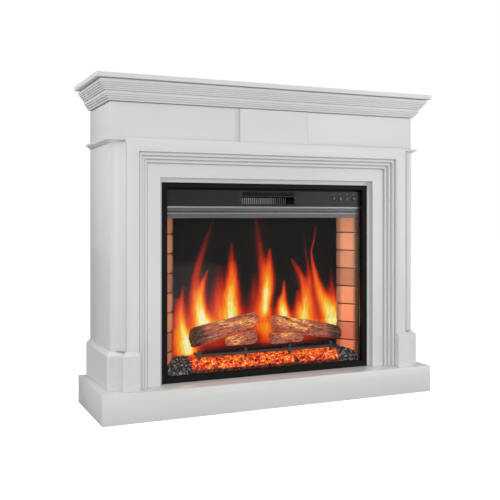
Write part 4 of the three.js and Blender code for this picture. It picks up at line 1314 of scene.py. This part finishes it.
# %% Ember bank
BED_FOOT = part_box("ember_bed")[0].z
GLOW_LEFT, GLOW_RIGHT = -0.252, 0.266
BANK = [(-0.058, 0.105), (-0.051, 0.122), (-0.045, 0.134), (-0.030, 0.1385), (0.008, 0.149)]
BANK_COLUMNS = 300
BANK_ROWS = 30


def bank_point(share):
    """The bank's profile (y, z) at a share of the way from front to back."""
    lengths = [math.dist(a, b) for a, b in zip(BANK, BANK[1:])]
    left = share * sum(lengths)
    for (a, b), length in zip(zip(BANK, BANK[1:]), lengths):
        if left <= length:
            return [p + left / length * (q - p) for p, q in zip(a, b)]
        left -= length
    return BANK[-1]


def splay(y):
    """Half width between the brick walls at a depth."""
    share = max(0.0, (y - WALL_FRONT[1]) / (WALL_BACK[1] - WALL_FRONT[1]))
    return WALL_FRONT[0] + share * (WALL_BACK[0] - WALL_FRONT[0])


def add_bank():
    """The bank of embers; returns its top as a carrier for the crumbs."""
    bm = bmesh.new()
    grid = []
    for row in range(BANK_ROWS + 1):
        y, z = bank_point(row / BANK_ROWS)
        line = []
        for column in range(BANK_COLUMNS + 1):
            x = (2 * column / BANK_COLUMNS - 1) * (splay(y) - 2.2 * MM)
            grain = noise.noise(Vector((x * 210, y * 210, 7.0)))
            heap = noise.noise(Vector((x * 30, y * 30, 2.0)))
            inside = 1 if 0 < row < BANK_ROWS else 0
            lift = (1.6 * grain + 2.0 * heap - 0.4) * MM * inside
            line.append(bm.verts.new((x, y, z + lift)))
        grid.append(line)
    add_grid(bm, grid)
    top = bpy.data.meshes.new("bank_top")
    bm.to_mesh(top)
    corners = (grid[0][0], grid[0][-1], grid[-1][-1], grid[-1][0])
    close_grid(bm, grid, [bm.verts.new((*v.co.xy, BED_FOOT)) for v in corners])
    bmesh.ops.recalc_face_normals(bm, faces=bm.faces)
    piece = piece_from("ember_bank", bm, EMBER, BODY)
    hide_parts("ember_bed")
    return top


CRUMBS_PER_METRE = 210.0


def make_ember():
    """Glowing crumbs between the ends of the lit part, grey coal outside it."""
    finish = Finish("glowing_embers", IOR=1.45, Emission_Strength=1.0)
    x, y, _ = finish.axes()
    cells = {"Vector": finish.place(), "Scale": CRUMBS_PER_METRE}
    chance = finish.value("ShaderNodeTexVoronoi", {"feature": "F1"}, cells, output="Color")
    pick = finish.axes(chance)[0]
    cloud = finish.noise(46.0, 3.0, 0.65)
    lit = x.band(GLOW_LEFT - 0.006, GLOW_LEFT + 0.008, GLOW_RIGHT - 0.010, GLOW_RIGHT + 0.008)
    front_fade = (y + 0.0575).smooth(0.0, 0.004)
    rear_fade = 1 - (y + 0.030).smooth(0.0, 0.030) * 0.25
    heat = (0.66 * pick + 1.5 * (cloud - 0.34)) * lit * front_fade * rear_fade
    light = finish.ramp(heat, (0.0, (0, 0, 0)), (0.22, (0.045, 0.002, 0.001)),
                        (0.42, (0.60, 0.020, 0.006)), (0.62, (1.0, 0.060, 0.006)),
                        (0.80, (1.0, 0.24, 0.012)), (0.95, (1.0, 0.66, 0.10)))
    coal = finish.ramp(pick, (0.1, (0.012, 0.011, 0.011)), (0.6, (0.06, 0.055, 0.052)),
                       (0.8, (0.17, 0.16, 0.155)), (0.92, (0.55, 0.53, 0.52)))
    amber = finish.ramp(pick, (0.1, (0.02, 0.004, 0.003)), (0.5, (0.10, 0.014, 0.008)),
                        (0.9, (0.30, 0.09, 0.05)))
    relief = finish.bump(finish.noise(900.0), 0.4, 0.6 * MM)
    return finish.feeds(Base_Color=finish.mix(lit, coal, amber), Roughness=0.42 + 0.3 * cloud,
                        Emission_Color=light, Normal=relief)


EMBER = make_ember()
BANK_TOP = add_bank()

# %% Crumbs of ember and coal gravel by Geometry Nodes


def make_scatter(material):
    """Stones on a surface: density, size and seed are named inputs."""
    pattern = Pattern("scattered_stones")
    density = pattern.number("Density")
    size = pattern.number("Stone radius")
    seed = pattern.number("Seed", "Int")
    spots = pattern.node("GeometryNodeDistributePointsOnFaces", {"distribute_method": "RANDOM"},
                         {"Mesh": pattern.inlet.outputs["Carrier"], "Density": density, "Seed": seed})
    stone = pattern.node("GeometryNodeMeshIcoSphere", {}, {"Radius": size, "Subdivisions": 1})
    turn = pattern.node("FunctionNodeRandomValue", {"data_type": "FLOAT_VECTOR"},
                        {0: (0, 0, 0), 1: (6.28, 6.28, 6.28), "Seed": seed})
    scale = pattern.node("FunctionNodeRandomValue", {"data_type": "FLOAT_VECTOR"},
                         {0: (0.55, 0.5, 0.4), 1: (1.25, 1.1, 0.9), "Seed": seed})
    placed = pattern.node("GeometryNodeInstanceOnPoints", {}, {
        "Points": spots.outputs["Points"], "Instance": stone.outputs["Mesh"],
        "Rotation": turn.outputs[0], "Scale": scale.outputs[0]})
    pattern.ends_with(placed.outputs[0], material)
    return pattern


def part_of_bank(name, keep):
    """The faces of the bank's top that a rule keeps, as a carrier."""
    bm = bmesh.new()
    bm.from_mesh(BANK_TOP)
    lost = [face for face in bm.faces if not keep(face.calc_center_median())]
    bmesh.ops.delete(bm, geom=lost, context="FACES")
    mesh = bpy.data.meshes.new(name)
    bm.to_mesh(mesh)
    bm.free()
    return mesh


CRUMB_FRONT = -0.056
GRAVEL_FRONT = -0.0575
GRAVEL_EDGE = -0.0545


def in_glow(point):
    """The lit part of the bank."""
    return GLOW_LEFT < point.x < GLOW_RIGHT and CRUMB_FRONT < point.y < 0.0


def in_gravel(point):
    """Both ends of the bank and a strip along the front, clear of the brick walls."""
    unlit = not GLOW_LEFT < point.x < GLOW_RIGHT or point.y < GRAVEL_EDGE
    return unlit and point.y > GRAVEL_FRONT and abs(point.x) < splay(point.y) - 8 * MM


SCATTER = make_scatter(EMBER)
SCATTER.run("ember_crumbs", part_of_bank("crumb_ground", in_glow), BODY, "embers",
            {"Density": 60000.0, "Stone radius": 2.9 * MM, "Seed": 5})
SCATTER.run("coal_gravel", part_of_bank("gravel_ground", in_gravel), BODY, "embers",
            {"Density": 62000.0, "Stone radius": 3.4 * MM, "Seed": 8})
# %% [markdown]
# ## Keys and symbols
# Four sprung keys lie almost flush in the gloss strip, in the same black. Each carries a
# plain symbol in pale ink: on and off, flame, warm air and clock. A symbol is a few strokes
# of even width, a tenth of a millimetre proud, and it rides on its key, so it moves with it.

# %% Strokes
STROKE = 1.1 * MM
SYMBOL_SCALE = 1.15 * MM
INK_DEPTH = 0.12 * MM


def add_stroke(bm, start, end, front, half):
    """A thin bar between two (x, z) points, its face towards the viewer."""
    run = Vector((end[0] - start[0], end[1] - start[1]))
    along = run.normalized() * half
    across = Vector((-along.y, along.x))
    corners = [Vector(start) - along + across, Vector(start) - along - across,
               Vector(end) + along - across, Vector(end) + along + across]
    add_loft(bm, [[(p.x, y, p.y) for p in corners] for y in (front, front + INK_DEPTH * 2)])


def arc_points(radius, start, end, count):
    """Points on a circle between two angles in degrees."""
    angles = [math.radians(start + (end - start) * i / count) for i in range(count + 1)]
    return [(radius * math.cos(a), radius * math.sin(a)) for a in angles]


def wave_points(x):
    """An upright wavy line."""
    return [(x + 0.75 * math.sin(z * 1.4), z) for z in (-3.2 + 0.8 * i for i in range(9))]


SYMBOLS = {
    "power": [arc_points(3.0, 125, 415, 14), [(0, 0.6), (0, 3.9)]],
    "flame": [[(0.2, 3.9), (1.9, 1.2), (2.4, -1.0), (1.5, -3.0), (-1.4, -3.1), (-2.4, -1.2),
               (-1.3, 0.7), (-0.7, 2.0), (0.2, 3.9)]],
    "heat": [wave_points(-2.5), wave_points(0), wave_points(2.5)],
    "timer": [arc_points(3.2, 0, 360, 16), [(0, 0), (0, 2.1)], [(0, 0), (1.5, -0.7)]],
}


def make_plastic(name, dark, light, roughness):
    finish = Finish(name, IOR=1.46, Specular_IOR_Level=0.4)
    cloud = finish.noise(60.0, 3.0)
    grain = finish.noise(1400.0, 2.0)
    relief = finish.bump(grain, 0.15, 0.08 * MM)
    return finish.feeds(Base_Color=finish.drift(cloud, dark, light),
                        Roughness=roughness + 0.12 * cloud, Normal=relief)


INK = make_plastic("pale_ink", (0.50, 0.51, 0.52), (0.60, 0.61, 0.62), 0.5)
KEY_BLACK = make_plastic("key_black", (0.012, 0.012, 0.013), (0.020, 0.020, 0.021), 0.26)
for word, strokes in SYMBOLS.items():
    node = "button_" + word
    low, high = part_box(node)
    middle = (low + high) / 2
    bm = bmesh.new()
    for points in strokes:
        spots = [(middle.x + x * SYMBOL_SCALE, middle.z + z * SYMBOL_SCALE) for x, z in points]
        for start, end in zip(spots, spots[1:]):
            add_stroke(bm, start, end, low.y - INK_DEPTH, STROKE / 2)
    bmesh.ops.recalc_face_normals(bm, faces=bm.faces)
    piece_from(word + "_symbol", bm, INK, word + "_key")
    eased(node, KEY_BLACK, width=0.4 * MM, body=word + "_key")

# %% A short mark over each key
MARK_RISE = 5.5 * MM
MARK_HALF = 1.6 * MM
MARK_STROKE = 0.9 * MM
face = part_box("control_fascia")[0].y
bm = bmesh.new()
for word in SYMBOLS:
    low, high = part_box("button_" + word)
    x, z = (low.x + high.x) / 2, high.z + MARK_RISE
    add_stroke(bm, (x - MARK_HALF, z), (x + MARK_HALF, z), face - INK_DEPTH, MARK_STROKE / 2)
bmesh.ops.recalc_face_normals(bm, faces=bm.faces)
piece_from("lamp_marks", bm, INK, BODY)

# %% [markdown]
# ## Behind the outlet and behind the cover
# The heater's fins are bare aluminium. The fan wheel and the inlet are black plastic. The
# spindle that makes the flames flicker carries strips of crinkled mirror foil. The circuit
# boards are green lacquered laminate. Lamps and screws repeat, so Geometry Nodes
# set them down from a list of points.

# %% Plastics, foil and laminate
DARK_PLASTIC = make_plastic("fan_black", (0.016, 0.016, 0.017), (0.028, 0.028, 0.029), 0.42)


def make_foil():
    finish = Finish("mirror_foil", Metallic=1.0)
    crinkle = finish.cells(140.0)
    tint = finish.ramp(crinkle, (0.2, (0.80, 0.80, 0.82)), (0.8, (0.95, 0.95, 0.96)))
    relief = finish.bump(crinkle, 0.6, 2 * MM)
    return finish.feeds(Base_Color=tint, Roughness=0.08 + 0.12 * crinkle, Normal=relief)


def make_laminate():
    finish = Finish("green_laminate", IOR=1.5)
    tracks = finish.noise(1.0, 1.0, 0.4, vector=finish.stretched((90.0, 400.0, 400.0)))
    copper = tracks.band(0.50, 0.53, 0.57, 0.60)
    green = finish.drift(tracks, (0.010, 0.075, 0.035), (0.014, 0.10, 0.045))
    colour = finish.mix(copper * 0.6, green, (0.06, 0.19, 0.09))
    relief = finish.bump(copper, 0.3, 0.3 * MM)
    return finish.feeds(Base_Color=colour, Roughness=0.30 + 0.2 * (1 - copper), Normal=relief)


FOIL = make_foil()
LAMINATE = make_laminate()
DRESSING = {
    FIN_METAL: ["heater_fin_pack"],
    FOIL: ["flame_spindle"],
    DARK_PLASTIC: ["blower_wheel"],
    MOTOR_STEEL: ["blower_motor", "flame_motor"],
    LAMINATE: ["control_board", "ember_led_board", "flame_led_board"],
}
for material, nodes in DRESSING.items():
    for node in nodes:
        dress(node, material)
eased("outlet_guard", GLOSS_BLACK, width=0.25 * MM)
eased("power_inlet", DARK_PLASTIC, width=0.6 * MM)
eased("rear_cover", ZINC, width=0.3 * MM).data.shade_flat()

# %% Screws on the rear cover
SCREW_INSET = 9 * MM
SCREW_PROUD = 1.0 * MM
CROSS_BARS = ((1.25, 0.26, 1.1), (0.26, 1.25, 1.1))


def make_screws(material):
    """Low pan-head screws with a cross recess, one on each point, facing +Y."""
    pattern = Pattern("pan_head_screws")
    radius = pattern.number("Head radius")
    height = pattern.number("Head height")
    head = pattern.node("GeometryNodeMeshCylinder", {},
                        {"Vertices": 20, "Radius": radius, "Depth": height})
    recessed = pattern.node("GeometryNodeMeshBoolean", {"operation": "DIFFERENCE"},
                            {"Mesh 1": head.outputs[0]})
    lift = pattern.node("ShaderNodeCombineXYZ", {}, {"Z": radius})
    for size in CROSS_BARS:
        scaled = pattern.node("ShaderNodeVectorMath", {"operation": "SCALE"},
                              {0: size, "Scale": radius})
        bar = pattern.node("GeometryNodeMeshCube", {}, {"Size": scaled.outputs[0]})
        moved = pattern.node("GeometryNodeTransform", {},
                             {0: bar.outputs[0], "Translation": lift.outputs[0]})
        pattern.tree.links.new(moved.outputs[0], recessed.inputs["Mesh 2"])
    placed = pattern.node("GeometryNodeInstanceOnPoints", {}, {
        "Points": pattern.inlet.outputs["Carrier"], "Instance": recessed.outputs[0],
        "Rotation": (-math.pi / 2, 0.35, 0)})
    pattern.ends_with(placed.outputs[0], material)
    return pattern


SCREW_STEEL = make_brushed_metal(
    "screw_steel", (0.40, 0.40, 0.39), (0.62, 0.62, 0.60), 0.30, stretch=(500, 500, 500))
cover_low, cover_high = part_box("rear_cover")
screw_y = cover_high.y + SCREW_PROUD
spots = []
for share in (0.0, 0.333, 0.667, 1.0):
    x = cover_low.x + SCREW_INSET + share * (cover_high.x - cover_low.x - 2 * SCREW_INSET)
    spots += [(x, screw_y, cover_low.z + SCREW_INSET), (x, screw_y, cover_high.z - SCREW_INSET)]
for share in (0.333, 0.667):
    z = cover_low.z + share * (cover_high.z - cover_low.z)
    spots += [(cover_low.x + SCREW_INSET, screw_y, z), (cover_high.x - SCREW_INSET, screw_y, z)]
SCREWS = make_screws(SCREW_STEEL)
SCREWS.run("cover_screws", points_mesh("cover_screw_places", spots), BODY, "zinc_sheet",
           {"Head radius": 3.8 * MM, "Head height": 2.2 * MM})

# %% Lamps on the boards and pins in the inlet
LAMP_RADIUS = 2.4 * MM
LAMP_LIFT = 0.6 * MM


def make_lamps(material):
    """A dome on every point, facing up."""
    pattern = Pattern("lamp_domes")
    radius = pattern.number("Lamp radius")
    dome = pattern.node("GeometryNodeMeshUVSphere", {}, {"Segments": 12, "Rings": 8, "Radius": radius})
    placed = pattern.node("GeometryNodeInstanceOnPoints", {}, {
        "Points": pattern.inlet.outputs["Carrier"], "Instance": dome.outputs[0]})
    pattern.ends_with(placed.outputs[0], material)
    return pattern


def make_lamp_resin():
    finish = Finish("amber_lamp_resin", IOR=1.5)
    depth = finish.noise(300.0)
    colour = finish.drift(depth, (0.72, 0.30, 0.06), (0.85, 0.42, 0.10))
    return finish.feeds(Base_Color=colour, Roughness=0.15 + 0.1 * depth)


LAMPS = make_lamps(make_lamp_resin())
for board, count in (("ember_led_board", 16), ("flame_led_board", 14)):
    low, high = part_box(board)
    step = (high.x - low.x) / count
    middle_y, lamp_z = (low.y + high.y) / 2, high.z + LAMP_LIFT
    places = [(low.x + step * (i + 0.5), middle_y, lamp_z) for i in range(count)]
    LAMPS.run(board.replace("_board", "s"), points_mesh(board + "_places", places), BODY,
              "circuit_board", {"Lamp radius": LAMP_RADIUS})

PIN_APART = 8.6 * MM
PIN_RADIUS = 1.2 * MM
PIN_LENGTH = 15 * MM
PIN_SUNK = 14 * MM
PIN_EASE = 0.4 * MM
inlet_low, inlet_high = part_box("power_inlet")
inlet_middle = (inlet_low + inlet_high) / 2
bm = bmesh.new()
for offset in (-PIN_APART / 2, PIN_APART / 2):
    place = (inlet_middle.x + offset, inlet_high.y - PIN_SUNK, inlet_middle.z)
    turned = Matrix.Translation(place) @ Matrix.Rotation(math.pi / 2, 4, "X")
    bmesh.ops.create_cone(bm, cap_ends=True, segments=16, radius1=PIN_RADIUS,
                          radius2=PIN_RADIUS, depth=PIN_LENGTH, matrix=turned)
ease(bm, PIN_EASE)
piece_from("inlet_pins", bm, BRIGHT, BODY)

# %% [markdown]
# ## Floor
# The floor belongs to the stage, not to the fireplace. It is lit white where the camera sees
# it and stays a pale grey for everything else, so it doesn't wash out the white mantel.

# %% Floor
FLOOR_HALF = 12
floor_mesh = bpy.data.meshes.new("floor")
bm = bmesh.new()
bmesh.ops.create_grid(bm, x_segments=1, y_segments=1, size=FLOOR_HALF)
bm.to_mesh(floor_mesh)
bm.free()
floor = bpy.data.objects.new("floor", floor_mesh)
finish = Finish("pale_floor", Roughness=0.85, Specular_IOR_Level=0.2, Emission_Strength=0.92)
seen = finish.value("ShaderNodeLightPath")
grey = finish.ramp(finish.noise(3.0), (0.4, (0.50, 0.50, 0.50)), (0.6, (0.52, 0.52, 0.52)))
white = finish.mix(seen, (0, 0, 0), (1, 1, 1))
floor_mesh.materials.append(finish.feeds(Base_Color=grey, Emission_Color=white))
bpy.context.scene.collection.objects.link(floor)
